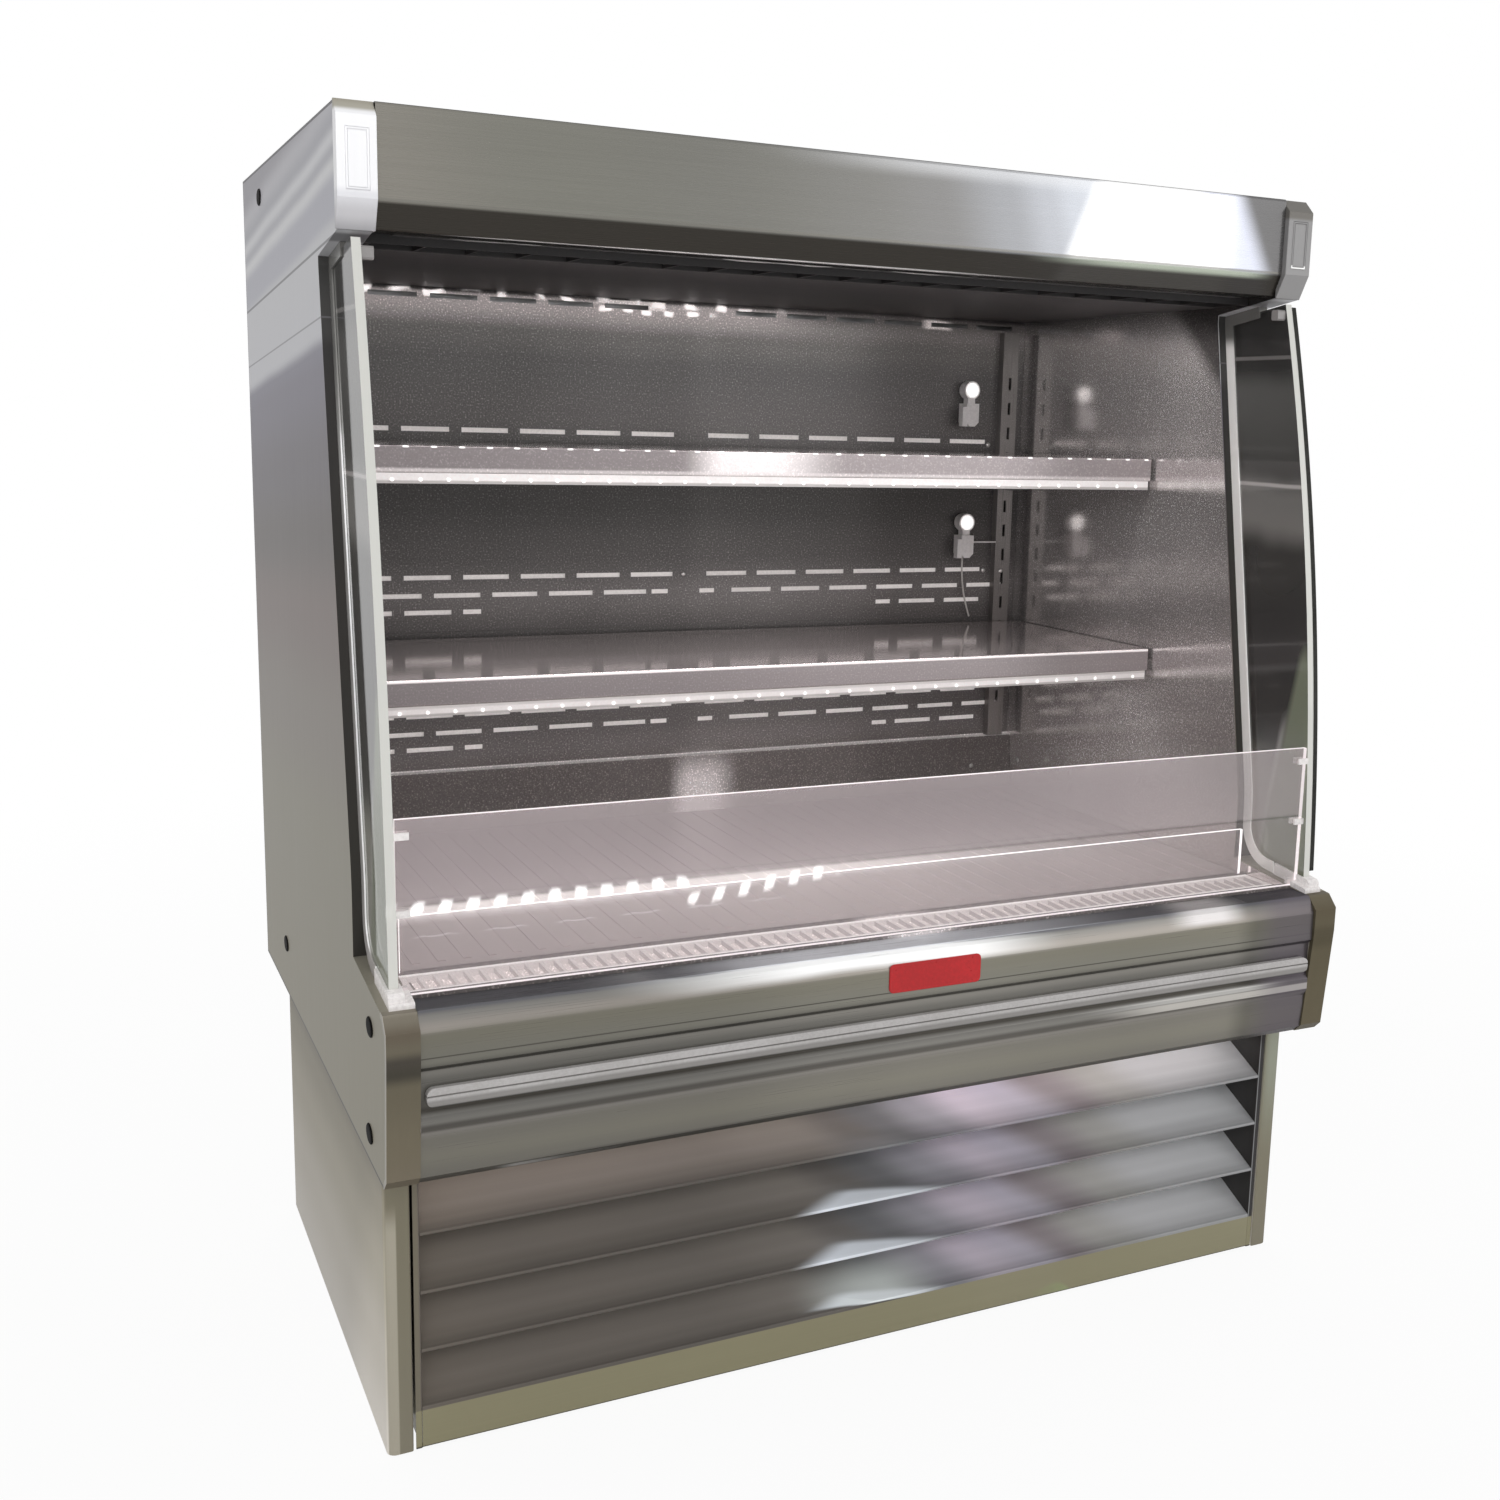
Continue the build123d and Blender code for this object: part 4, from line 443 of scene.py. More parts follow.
brushedSteel("interiorSteel", {
    # tone and over: painted light and shade, a glow under the top slot row, dark above it, lighter middle
    "grain": "X", "tone": (upward, 0.54, 1.36, [
        (0.54, (138, 131, 129)), (0.6, (124, 118, 116)), (0.63, (120, 114, 112)),
        (0.66, (132, 127, 126)), (0.7, (118, 114, 113)), (0.84, (100, 97, 96)),
        (0.9, (126, 122, 121)), (0.96, (104, 101, 100)), (1.04, (92, 90, 89)),
        (1.1, (96, 94, 93)), (1.17, (114, 111, 110)), (1.25, (110, 108, 107)),
        (1.29, (126, 123, 121)), (1.32, (150, 145, 143)), (1.342, (120, 115, 114)),
        (1.35, (52, 50, 50))]),
    "over": [(across, -0.62, 0.62, [
        (-0.62, 224), (-0.3, 232), (-0.02, 240), (0.03, 255), (0.28, 255), (0.36, 240),
        (0.62, 236)])],
    "wobble": 0.012, "roughness": 0.36, "streaks": 0.12, "cloud": 0.34, "metallic": 0.35,
    "cloudScale": 5.5, "speckle": (400.0, 0.95), "bump": 0.12, "edgeTint": 120,
    "marks": [
        # a glowing painted reflection down the middle
        mark((222, 214, 214), 0.85, (across, -0.04, 0.0, 0.09, 0.03), (upward, 0.655, 0.59), glow=0.2,
             ragged=0.03, facing=frontward),
        # a seam line painted as a glowing highlight
        mark((212, 206, 205), 0.85, (upward, 0.6366, 0.6372, 0.6404, 0.6397), glow=0.2),
        # a painted glow under the top slot row
        mark((206, 196, 195), 0.75, (upward, 1.295, 1.338, 1.347, 1.342), (across, 0.26, 0.08),
             glow=0.08),
        # glowing painted reflections: LED glints and a lamp patch along the top slot row
        mark((255, 247, 246), 1.0, (upward, 1.337, 1.342, 1.35, 1.345), (across, -0.6, -0.5, 0.18, 0.06),
             glow=0.7, pitch=(0.05, 0.015), shift=0.07, ragged=0.018, fleck=(0.36, 0.5)),
        mark((255, 247, 246), 1.0, (upward, 1.3265, 1.331, 1.338, 1.334),
             (across, -0.18, -0.14, 0.05, 0.01), glow=0.7, pitch=(0.0363, 0.012), shift=0.03,
             ragged=0.014),
        mark((208, 200, 198), 0.9, (upward, 1.3335, 1.3345, 1.3475, 1.3465),
             (across, -0.137, -0.133, -0.043, -0.047), glow=0.3),
        mark((226, 216, 214), 0.85, (upward, 1.326, 1.332, 1.345, 1.34), (across, 0.4, 0.42, 0.47, 0.45),
             glow=0.3, ragged=0.02),
        # the tub's front below the grille painted pale and glowing, partly painted light
        mark((222, 214, 213), 0.9, (back, -0.3, -0.305), (upward, 0.541, 0.536), glow=0.5),
    ],
})
brushedSteel("ceilingSteel", {
    # tone: painted shade, darkest part way back
    "grain": "X", "tone": (back, -0.2, 0.36, [
        (-0.17, (78, 75, 76)), (-0.1, (66, 63, 64)), (0.0, (56, 54, 55)),
        (0.2, (60, 58, 58)), (0.33, (74, 71, 70))]),
    "roughness": 0.4, "streaks": 0.14, "cloud": 0.3, "metallic": 0.3,
    "speckle": (420.0, 0.6), "edgeTint": 60,
    "marks": [
        # painted light towards the right, a darker band, and a painted highlight along the front edge
        mark((104, 101, 101), 0.6, (across, -0.1, 0.45)),
        mark((86, 83, 84), 0.6, (back, -0.05, -0.15)),
        mark((176, 172, 171), 0.8, (back, -0.1580, -0.1588), ragged=0.002),
    ],
})
brushedSteel("linerSteel", {
    "grain": "Y", "tone": (back, -0.45, 0.45, [
        (-0.45, (206, 201, 199)), (-0.1, (232, 226, 225)), (0.1, (236, 230, 229)),
        (0.3, (222, 217, 216)), (0.45, (206, 202, 201))]),
    # over: painted shade near the ceiling
    "over": [(upward, 0.54, 1.36, [
        (0.54, 255), (0.64, 255), (0.72, 226), (0.9, 222), (1.05, 236), (1.2, 240),
        (1.3, 255), (1.36, 150)])],
    "roughness": 0.13, "streaks": 0.1, "cloud": 0.3, "metallic": 0.75, "brush": 0.06,
    "cloudScale": 5.5, "speckle": (420.0, 0.8), "bump": 0.1,
    "marks": [
        # a painted reflection low at the front, and a painted shadow wedge at the top front
        mark((226, 218, 216), 0.6, (upward, 0.67, 0.63), ((0, 1, 0.3), 0.3, 0.2)),
        mark((84, 81, 80), 0.85, ((0, 1, -1), -1.385, -1.435), (upward, 1.2, 1.26)),
    ],
})
brushedSteel("shelfSteel", {
    # tone and over: painted light, lighter at the front and to the right
    "grain": "X", "tone": (back, -0.05, 0.35, [
        (-0.045, (168, 159, 160)), (-0.02, (160, 151, 152)), (0.05, (148, 140, 140)),
        (0.15, (132, 125, 125)), (0.33, (96, 91, 90))]),
    "over": [(across, -0.62, 0.62, [
        (-0.62, 214), (-0.2, 226), (0.1, 250), (0.35, 255), (0.62, 255)])],
    "roughness": 0.3, "streaks": 0.1, "cloud": 0.1, "metallic": 0.4,
    "speckle": (420.0, 0.3), "brush": 0.06, "edgeTint": 255,
    "polish": {"facing": upward, "colour": (236, 224, 224), "metallic": 0.8, "roughness": 0.09},
    "marks": [
        # a glowing painted highlight on the front face
        mark((240, 232, 232), 0.9, (across, -0.17, -0.1, 0.09, -0.04), (upward, 1.0, 1.02), glow=0.18,
             ragged=0.05, facing=frontward),
        # glowing painted glints along the upper shelf's top edge
        mark((255, 251, 250), 0.9, (upward, 1.1275, 1.1288), glow=0.7, pitch=(0.035, 0.005),
             facing=frontward),
        # glowing painted highlights along the lower shelf's top edge and under both front bands
        mark((244, 236, 236), 0.9, (upward, 0.8362, 0.8386, 0.9, 0.89), glow=0.45, facing=frontward),
        mark((208, 200, 200), 0.8, (upward, 1.1045, 1.101, 1.0, 1.01), glow=0.15, facing=frontward),
        mark((182, 174, 174), 0.7, (upward, 0.8105, 0.808, 0.7, 0.71), glow=0.05, facing=frontward),
    ],
})
brushedSteel("deckSteel", {
    # tone and over: painted light, lightest at the front and in the middle
    "grain": "Y", "tone": (back, -0.3, 0.34, [
        (-0.29, (244, 230, 228)), (-0.15, (236, 222, 221)), (-0.06, (222, 211, 210)),
        (0.0, (192, 180, 179)), (0.1, (174, 162, 162)), (0.33, (162, 152, 151))]),
    "over": [(across, -0.62, 0.62, [
        (-0.62, 232), (-0.3, 240), (-0.05, 255), (0.12, 255), (0.3, 240), (0.62, 236)])],
    "roughness": 0.2, "streaks": 0.08, "cloud": 0.12, "metallic": 0.35, "brush": 0.06,
    "speckle": (420.0, 0.24), "glowStrength": 1.8,
    "marks": [
        # glowing painted reflections of the lamp and, as rows of spots, of its LEDs
        mark((252, 243, 241), 0.7, (back, -0.12, -0.07, -0.02, -0.05), (across, 0.5, -0.1), glow=0.35,
             ragged=0.03),
        mark((255, 254, 253), 1.0, (back, -0.092, -0.062, -0.012, -0.038), (across, -0.13, -0.17),
             glow=1.0, pitch=(0.0363, 0.0105), lean=(1, -0.33, 0)),
        mark((255, 252, 251), 0.95, ((-0.3, 1, 0), -0.122, -0.092, -0.044, -0.072),
             (across, -0.2, -0.18, 0.07, 0.04), glow=0.9, pitch=(0.0363, 0.0095), lean=(1, -0.53, 0)),
        # painted reflections of the slot rows
        mark((250, 246, 244), 0.6, (back, -0.174, -0.171, -0.165, -0.168), (across, 0.0, -0.15), glow=0.2,
             pitch=(0.088, 0.036)),
        # a dark line
        mark((96, 90, 89), 0.6, (back, -0.0105, -0.0085, -0.0035, -0.0055)),
    ],
})
brushedSteel("trimSteel", {
    # tone: painted reflection bands
    "grain": "Z", "tone": (upward, 0.54, 1.36, [
        (0.54, (206, 201, 199)), (0.7, (212, 208, 206)), (1.0, (196, 193, 191)),
        (1.1, (226, 224, 222)), (1.25, (150, 149, 146)), (1.36, (128, 127, 124))]),
    "roughness": 0.2, "streaks": 0.06, "metallic": 0.3, "edgeTint": 140,
    "marks": [
        # glowing painted highlights on the front faces and along the right trim
        mark((255, 255, 255), 0.9, (upward, 1.16, 1.13), glow=0.3, facing=frontward),
        mark((238, 235, 232), 0.85, (across, 0.6, 0.61), (upward, 1.31, 1.29), glow=0.2),
    ],
})
brushedSteel("standardSteel", {
    # tone: painted reflection bands
    "grain": "Z", "tone": (upward, 0.6, 1.36, [
        (0.62, (140, 135, 133)), (0.85, (120, 116, 114)), (1.05, (150, 146, 144)),
        (1.33, (118, 115, 113))]),
    "roughness": 0.3, "streaks": 0.08, "metallic": 0.5, "speckle": (500.0, 0.3),
})
brushedSteel("galvanised", {
    "grain": "none", "tone": (upward, 0.0, 1.5, [(0.0, (150, 150, 148)), (1.5, (166, 166, 166))]),
    "roughness": 0.45, "streaks": 0.06, "cloudScale": 26.0, "cloud": 0.3,
})


# Plastics, coils, lamps and the rest: a base colour that mottles softly towards its shade

plainUsual = {
    "fine": (260.0, 3.0, 0.6),  # noise scale, detail, roughness
    "broadScale": 9.0, "mottling": (0.35, 0.65), "unevenness": 0.12, "bump": 0.08,
    "bumpDistance": 0.0004, "metallic": 0.0, "marks": [],
}


def plainFinish(name, finish):
    finish = {**plainUsual, **finish}
    graph = Graph(bpy.data.materials.new(name))
    fine = graph.noise(graph.place, *finish["fine"])
    broad = graph.noise(graph.place, finish["broadScale"])
    share = graph.rise(fine * 0.5 + broad * 0.5, *finish["mottling"])
    colour = graph.mixed(share, rgb(finish["shade"]), rgb(finish["colour"]))
    # marks: painted highlights and shade on some finishes, also grooves and lines
    for look in finish["marks"]:
        colour = graph.mixed(markMask(graph, look, broad), colour, rgb(look["colour"]))
    inputs = {
        "Base Color": colour,
        "Metallic": finish["metallic"],
        "Roughness": finish["roughness"] + (fine - 0.5) * finish["unevenness"],
        "Normal": graph.bump(fine, finish["bump"], finish["bumpDistance"]),
    }
    if "gloss" in finish:
        inputs["Specular IOR Level"] = finish["gloss"]
    # a glow is a lamp's own light, or on a part that is no lamp, painted light
    if "glow" in finish:
        inputs["Emission Color"] = colour
        inputs["Emission Strength"] = finish["glow"]
    finishes[name] = graph.surface(inputs)


plainFinish("whitePlastic", {"colour": (240, 236, 235), "shade": (222, 218, 217), "roughness": 0.34})
plainFinish("grillePlastic", {
    # the grille glows as painted light; its faces are painted darker as shade by the way they face
    "colour": (246, 241, 240), "shade": (240, 234, 233), "roughness": 0.34, "glow": 0.5,
    "marks": [
        mark((176, 168, 167), 0.9, facing=across),
        mark((150, 143, 142), 0.9, facing=leftward),
        mark((196, 188, 187), 0.9, facing=frontward),
        mark((196, 186, 185), 0.8, (back, -0.36, -0.357, -0.309, -0.312), facing=upward),
    ],
})
plainFinish("bumperPlastic", {
    "colour": (190, 187, 186), "shade": (176, 173, 171), "roughness": 0.38,
    "marks": [
        # a darker lower half
        mark((132, 129, 126), 0.85, (upward, 0.455, 0.451)),
        # a groove line
        mark((92, 89, 86), 0.8, (upward, 0.4562, 0.457, 0.4588, 0.458)),
        # a painted shadow line along the bottom edge
        mark((72, 70, 67), 0.85, (upward, 0.4466, 0.4456)),
    ],
})
plainFinish("combPlastic", {"colour": (44, 42, 42), "shade": (34, 32, 33), "roughness": 0.6})
plainFinish("lampLens", {
    "colour": (246, 241, 240), "shade": (236, 230, 229), "roughness": 0.3, "glow": 0.12,
    "marks": [
        # painted light and shade across each lamp's height, its lower part in painted shade
        mark((168, 162, 160), 0.8, (upward, 1.089, 1.0865, 1.0, 1.05)),
        mark((168, 162, 160), 0.8, (upward, 0.7985, 0.796)),
        mark((206, 200, 198), 0.8, (upward, 0.8025, 0.805, 0.9, 0.85)),
    ],
})
plainFinish("canopyLens", {
    "colour": (96, 94, 94), "shade": (70, 68, 68), "roughness": 0.3,
    "marks": [mark((236, 232, 230), 0.9, (back, -0.2405, -0.2425), (across, 0.2, 0.0, -0.6, -0.4),
                   ragged=0.1)],
})
plainFinish("ledLens", {"colour": (255, 253, 252), "shade": (252, 248, 246), "roughness": 0.2, "glow": 0.8})
plainFinish("slotLight", {
    # glows as painted light
    "colour": (208, 202, 200), "shade": (190, 184, 182), "roughness": 0.5, "glow": 0.5,
})
plainFinish("clipPlastic", {
    # glows a little as painted light; darker below 1.2 m
    "colour": (240, 236, 234), "shade": (216, 211, 210), "roughness": 0.25, "glow": 0.12,
    "marks": [mark((118, 115, 114), 0.85, (upward, 1.2, 1.25))],
})
plainFinish("finAluminium", {
    "colour": (178, 180, 182), "shade": (140, 142, 144), "roughness": 0.4, "metallic": 0.9,
})
plainFinish("fanPlastic", {"colour": (60, 61, 63), "shade": (40, 41, 43), "roughness": 0.45})
plainFinish("motorMetal", {
    "colour": (120, 122, 124), "shade": (88, 90, 92), "roughness": 0.45, "metallic": 0.85,
})
plainFinish("compressorBlack", {"colour": (34, 34, 36), "shade": (22, 22, 24), "roughness": 0.4})
plainFinish("copper", {
    "colour": (196, 120, 82), "shade": (150, 84, 56), "roughness": 0.32, "metallic": 1.0,
})
plainFinish("boxPlastic", {"colour": (72, 73, 75), "shade": (52, 53, 55), "roughness": 0.5})
plainFinish("switchBlack", {"colour": (24, 24, 25), "shade": (16, 16, 17), "roughness": 0.35})
plainFinish("leadPlastic", {"colour": (206, 202, 198), "shade": (180, 176, 172), "roughness": 0.45})
plainFinish("capRubber", {"colour": (30, 29, 29), "shade": (20, 19, 19), "roughness": 0.6, "gloss": 0.03})
plainFinish("darkEdgeFinish", {"colour": (62, 62, 60), "shade": (44, 44, 42), "roughness": 0.55, "gloss": 0.1})
plainFinish("badgeRed", {"colour": (194, 16, 26), "shade": (176, 12, 20), "roughness": 0.3, "bump": 0.02})
plainFinish("rivetSteel", {
    "colour": (214, 211, 209), "shade": (180, 177, 175), "roughness": 0.3, "metallic": 0.6,
})
plainFinish("screwSteel", {
    "colour": (150, 149, 147), "shade": (112, 111, 109), "roughness": 0.35, "metallic": 0.9,
})


# Glass: a thin veil over what is behind it, with bright edges that glow as a painted highlight

glassLook = {"smearScale": (3.0, 3.0, 1.2), "wobble": 0.1, "ior": 1.45, "roughness": 0.05,
             "smearRoughness": 0.03, "alphaShare": (0.85, 0.3), "edgeRise": (0.75, 0.45),
             "edgeAlpha": 0.9}


def glassFinish(name, finish):
    graph = Graph(bpy.data.materials.new(name))
    smear = graph.noise(graph.scaled(glassLook["smearScale"]), 1.0, 3.0, 0.6)
    direction, low, high, stops = finish["tone"]
    position = graph.along(direction) + (smear - 0.5) * glassLook["wobble"]
    tone = graph.ramp(position, low, high, stops)
    direction, low, high, start, end = finish["alpha"]
    least, more = glassLook["alphaShare"]
    alpha = graph.rise(graph.along(direction), low, high, start, end) * (least + smear * more)
    for look in finish.get("marks", []):
        tone = graph.mixed(markMask(graph, look, smear), tone, rgb(look["colour"]))
    flatness = abs(graph.along(finish["facing"], graph.node("ShaderNodeTexCoord", output="Normal")))
    edge = graph.rise(flatness, *glassLook["edgeRise"])
    # the edges take a glowing painted highlight
    tone = graph.mixed(edge, tone, rgb(finish["edge"]))
    glow = graph.mixed(edge, rgb(0), rgb(finish["edge"]))
    finishes[name] = graph.surface({
        "Base Color": tone, "IOR": glassLook["ior"],
        "Roughness": glassLook["roughness"] + smear * glassLook["smearRoughness"],
        "Alpha": graph.rise(edge, 0.0, 1.0) * glassLook["edgeAlpha"] + (1 - edge) * alpha,
        "Emission Color": glow, "Emission Strength": finish["edgeGlow"],
    })


glassFinish("frontGlass", {
    "tone": (across, -0.62, 0.62, [
        (-0.6, (206, 193, 195)), (0.3, (200, 188, 190)), (0.62, (180, 171, 171))]),
    "alpha": (upward, 0.647, 0.655, 0.17, 0.36),
    "facing": back, "edge": (246, 238, 240), "edgeGlow": 0.8,
    # a dark line along the top edge
    "marks": [mark((96, 91, 91), 0.9, (upward, 0.6505, 0.6515, 0.6545, 0.6535))],
})
glassFinish("stopAcrylic", {
    "tone": (across, -0.62, 0.62, [(-0.6, (214, 204, 206)), (0.62, (206, 198, 198))]),
    "alpha": (across, -0.6, 0.6, 0.14, 0.12),
    "facing": back, "edge": (252, 246, 247), "edgeGlow": 1.6,
})
glassFinish("sideGlass", {
    # tone and marks: painted reflections in the side panes
    "tone": (upward, 0.55, 1.36, [
        (0.56, (146, 142, 134)), (0.7, (134, 131, 122)), (0.76, (62, 60, 58)),
        (0.9, (58, 56, 55)), (1.02, (66, 64, 62)), (1.06, (126, 123, 120)),
        (1.09, (122, 120, 117)), (1.13, (76, 75, 73)), (1.24, (94, 93, 91)),
        (1.28, (52, 51, 50)), (1.33, (58, 57, 56))]),
    "alpha": (upward, 0.7, 0.8, 0.72, 0.9),
    "facing": across, "edge": (222, 222, 216), "edgeGlow": 0.08,
    "marks": [
        mark((190, 184, 182), 0.8, (upward, 1.099, 1.102, 1.107, 1.104), ragged=0.01),
        mark((150, 146, 144), 0.6, (upward, 1.274, 1.276, 1.281, 1.279)),
        mark((126, 132, 112), 0.9, ((0, 5.2, 1), -1.0, -1.08), (upward, 0.9, 0.86)),
        mark((198, 196, 192), 0.75, ((0, 5.2, 1), -1.06, -1.0), ((0, 6.6, 1), -1.42, -1.52),
             (upward, 0.8, 0.74)),
    ],
})


# Which CAD nodes take which finish

nodeFinishes = {
    "endSteel": ["left_end_panel", "right_end_panel"],
    "linerSteel": ["left_wall_liner", "right_wall_liner"],
    "apronCapSteel": ["apron_cap_left", "apron_cap_right"],
    "capSteel": ["canopy_cap_left", "canopy_cap_right"],
    "canopySteel": ["canopy_fascia"],
    "galvanised": ["back_panel", "top_panel", "base_frame", "rear_grille",
                   "evaporator_fan_shroud", "condenser_fan_shroud"],
    "interiorSteel": ["rear_panel_upper", "rear_panel_lower", "plenum_cover", "insulated_tub"],
    "ceilingSteel": ["ceiling_panel"],
    "lampLens": ["upper_shelf_lamp", "lower_shelf_lamp"],
    "canopyLens": ["canopy_lamp"],
    "combPlastic": ["discharge_honeycomb", "condensate_pan"],
    "apronSteel": ["front_apron"],
    "bumperPlastic": ["bumper_strip"],
    "sideGlass": ["side_glass_left", "side_glass_right"],
    "frontGlass": ["front_glass"],
    "stopAcrylic": ["product_stop"],
    "trimSteel": ["glass_trim_left", "glass_trim_right"],
    "standardSteel": ["shelf_standard_left", "shelf_standard_right", "upper_shelf_brackets",
                      "lower_shelf_brackets"],
    "clipPlastic": ["glass_shoes", "glass_clips"],
    "whitePlastic": ["shelf_lamp_sockets"],
    "grillePlastic": ["return_air_grille"],
    "deckSteel": ["deck_pan_left", "deck_pan_right"],
    "shelfSteel": ["upper_shelf", "lower_shelf"],
    "finAluminium": ["evaporator_coil", "condenser_coil"],
    "motorMetal": ["evaporator_fan_motors", "condenser_fan_motor"],
    "fanPlastic": ["evaporator_fan_left", "evaporator_fan_right", "condenser_fan"],
    "baseSteel": ["base_side_left", "base_side_right"],
    "louvreSteel": ["louvred_grille"],
    "compressorBlack": ["compressor"],
    "copper": ["refrigerant_lines"],
    "boxPlastic": ["control_box"],
    "switchBlack": ["rocker_switch"],
    "leadPlastic": ["socket_lead"],
}
for finishName, members in nodeFinishes.items():
    for member in members:
        mesh = nodes[member].data
        mesh.materials.clear()
        mesh.materials.append(finishes[finishName])


# Camera that matches the photograph

print("camera")
view = {"azimuth": 26.405, "elevation": -9.893, "roll": 1.542, "place": (-0.96655, -2.11224, 1.16761),
        "lens": 39.758, "sensor": 36.0, "shift": (-0.05329, -0.02330)}
azimuth, elevation, roll = (math.radians(view[name]) for name in ("azimuth", "elevation", "roll"))
forward = Vector((
    math.sin(azimuth) * math.cos(elevation),
    math.cos(azimuth) * math.cos(elevation),
    math.sin(elevation),
))
level = Vector((math.cos(azimuth), -math.sin(azimuth), 0.0))
upright = level.cross(forward)
right = level * math.cos(roll) + upright * math.sin(roll)
up = upright * math.cos(roll) - level * math.sin(roll)
lens = bpy.data.cameras.new("camera")
lens.sensor_width = view["sensor"]
lens.lens = view["lens"]
lens.shift_x, lens.shift_y = view["shift"]
camera = bpy.data.objects.new("camera", lens)
turned = Matrix((right, up, -forward)).transposed().to_4x4()
camera.matrix_world = Matrix.Translation(view["place"]) @ turned
bpy.context.scene.collection.objects.link(camera)
bpy.context.scene.camera = camera
bpy.context.scene.view_settings.view_transform = "Standard"


# Mesh building

def at(x, depth, z):
    return Vector((x, frontY + depth, z))


def madePiece(name, build, finish, body="cabinet", smooth=False):
    form = bmesh.new()
    build(form)
    bmesh.ops.recalc_face_normals(form, faces=form.faces)
    mesh = bpy.data.meshes.new(name)
    form.to_mesh(mesh)
    form.free()
    mesh.materials.append(finishes[finish])
    if smooth:
        mesh.shade_smooth()
    made = bpy.data.objects.new(name, mesh)
    bpy.context.scene.collection.objects.link(made)
    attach(made, body)


def addRings(form, rings):  # skins a run of rings and closes both ends
    made = [[form.verts.new(point) for point in ring] for ring in rings]
    for lower, upper in zip(made, made[1:]):
        for index in range(len(lower)):
            following = (index + 1) % len(lower)
            form.faces.new((lower[index], lower[following], upper[following], upper[index]))
    form.faces.new(made[0])
    form.faces.new(made[-1])


def addTurned(form, centre, facing, profile, steps):  # profile: (radius, height) from the seat
    facing = Vector(facing)
    side = facing.orthogonal().normalized()
    other = facing.cross(side)
    turns = [2 * math.pi * index / steps for index in range(steps)]
    around = [side * math.cos(turn) + other * math.sin(turn) for turn in turns]
    addRings(form, [
        [centre + facing * height + spoke * radius for spoke in around]
        for radius, height in profile
    ])


def madeTurned(name, look, finish, body="cabinet"):  # places: ((x, depth, z), facing)
    def build(form):
        for place, facing in look["places"]:
            addTurned(form, at(*place), facing, look["profile"], look["steps"])
    madePiece(name, build, finish, body, smooth=True)


def addBar(form, outline, start, end):  # outline of (depth, height) points, run along X
    addRings(form, [[at(x, depth, z) for depth, z in outline] for x in (start, end)])


# Cord: the spare lead that hangs from the lower lamp socket

print("cord")
leadRadius = 0.0015
leadRoute = [
    (0.4960, 0.340, 0.9520), (0.4960, 0.340, 0.9260), (0.4990, 0.3395, 0.9000),
    (0.5050, 0.3395, 0.8740), (0.5140, 0.340, 0.8500),
]
leadCurve = bpy.data.curves.new("hanging_lead", "CURVE")
leadCurve.dimensions = "3D"
leadCurve.bevel_depth = leadRadius
leadCurve.bevel_resolution = 4
leadSpline = leadCurve.splines.new("NURBS")
leadSpline.points.add(len(leadRoute) - 1)
for point, place in zip(leadSpline.points, leadRoute):
    point.co = (*place, 1.0)
leadSpline.order_u = 3
leadSpline.use_endpoint_u = True
leadSpline.resolution_u = 12
leadCurve.use_fill_caps = True
leadCurve.materials.append(finishes["leadPlastic"])
hangingLead = bpy.data.objects.new("hanging_lead", leadCurve)
bpy.context.scene.collection.objects.link(hangingLead)
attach(hangingLead, "cabinet")
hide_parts("socket_lead")


# Fastener caps of the end panels, screws and rivets

print("fasteners")
sides = {"left": -1, "right": 1}
endCap = {
    "halfDepth": 0.016, "halfHeight": 0.011, "seat": 0.6455, "steps": 24,
    "places": [(0.738, 1.448), (0.695, 0.425), (0.083, 0.514), (0.096, 0.386)],
    "profile": [(1.0, 0.0), (1.0, 0.001), (0.9, 0.0017), (0.6, 0.0019), (0.2, 0.0019)],
}


def addEndCaps(form, side):
    turns = [2 * math.pi * index / endCap["steps"] for index in range(endCap["steps"])]
    for depth, z in endCap["places"]:
        addRings(form, [[
            at(side * (endCap["seat"] + proud),
               depth + math.cos(turn) * endCap["halfDepth"] * share,
               z + math.sin(turn) * endCap["halfHeight"] * share)
            for turn in turns] for share, proud in endCap["profile"]])


for sideName, side in sides.items():
    madePiece(f"end_fastener_caps_{sideName}", lambda form: addEndCaps(form, side), "capRubber",
              smooth=True)

rearScrews = {
    "steps": 16,
    "profile": [(0.0042, 0), (0.0042, 0.0006), (0.0034, 0.0016), (0.0021, 0.0019), (0.0018, 0.0012),
                (0.0006, 0.0012)],
    "places": [((x, 0.747, z), back) for x in (-0.6, -0.3, 0.0, 0.3, 0.6) for z in (0.018, 0.336)],
}
madeTurned("rear_grille_screws", rearScrews, "screwSteel")

topRivets = {
    "steps": 14, "profile": [(0.004, 0), (0.0036, 0.0007), (0.002, 0.0012), (0.0008, 0.0013)],
    "places": [((-0.56 + index * 0.14, depth, 1.4845), upward)
               for index in range(9) for depth in (0.27, 0.885)],
}
madeTurned("top_panel_rivets", topRivets, "screwSteel")

wallRivets = {
    "steps": 16, "profile": [(0.0042, 0), (0.004, 0.0008), (0.0028, 0.0018), (0.001, 0.0022)],
    "places": [
        ((-0.0113, 0.8, 0.930), frontward), ((0.5445, 0.8, 1.143), frontward),
        ((0.545, 0.8, 0.9285), frontward), ((0.5715, 0.786, 0.928), frontward),
        ((0.530, 0.788, 0.585), frontward), ((0.609, 0.762, 0.595), leftward),
        ((-0.545, 0.8, 1.143), frontward), ((-0.545, 0.8, 0.9285), frontward)],
}
madeTurned("wall_rivets", wallRivets, "rivetSteel")


# Badge: a bare plate with rounded corners and a bevelled rim

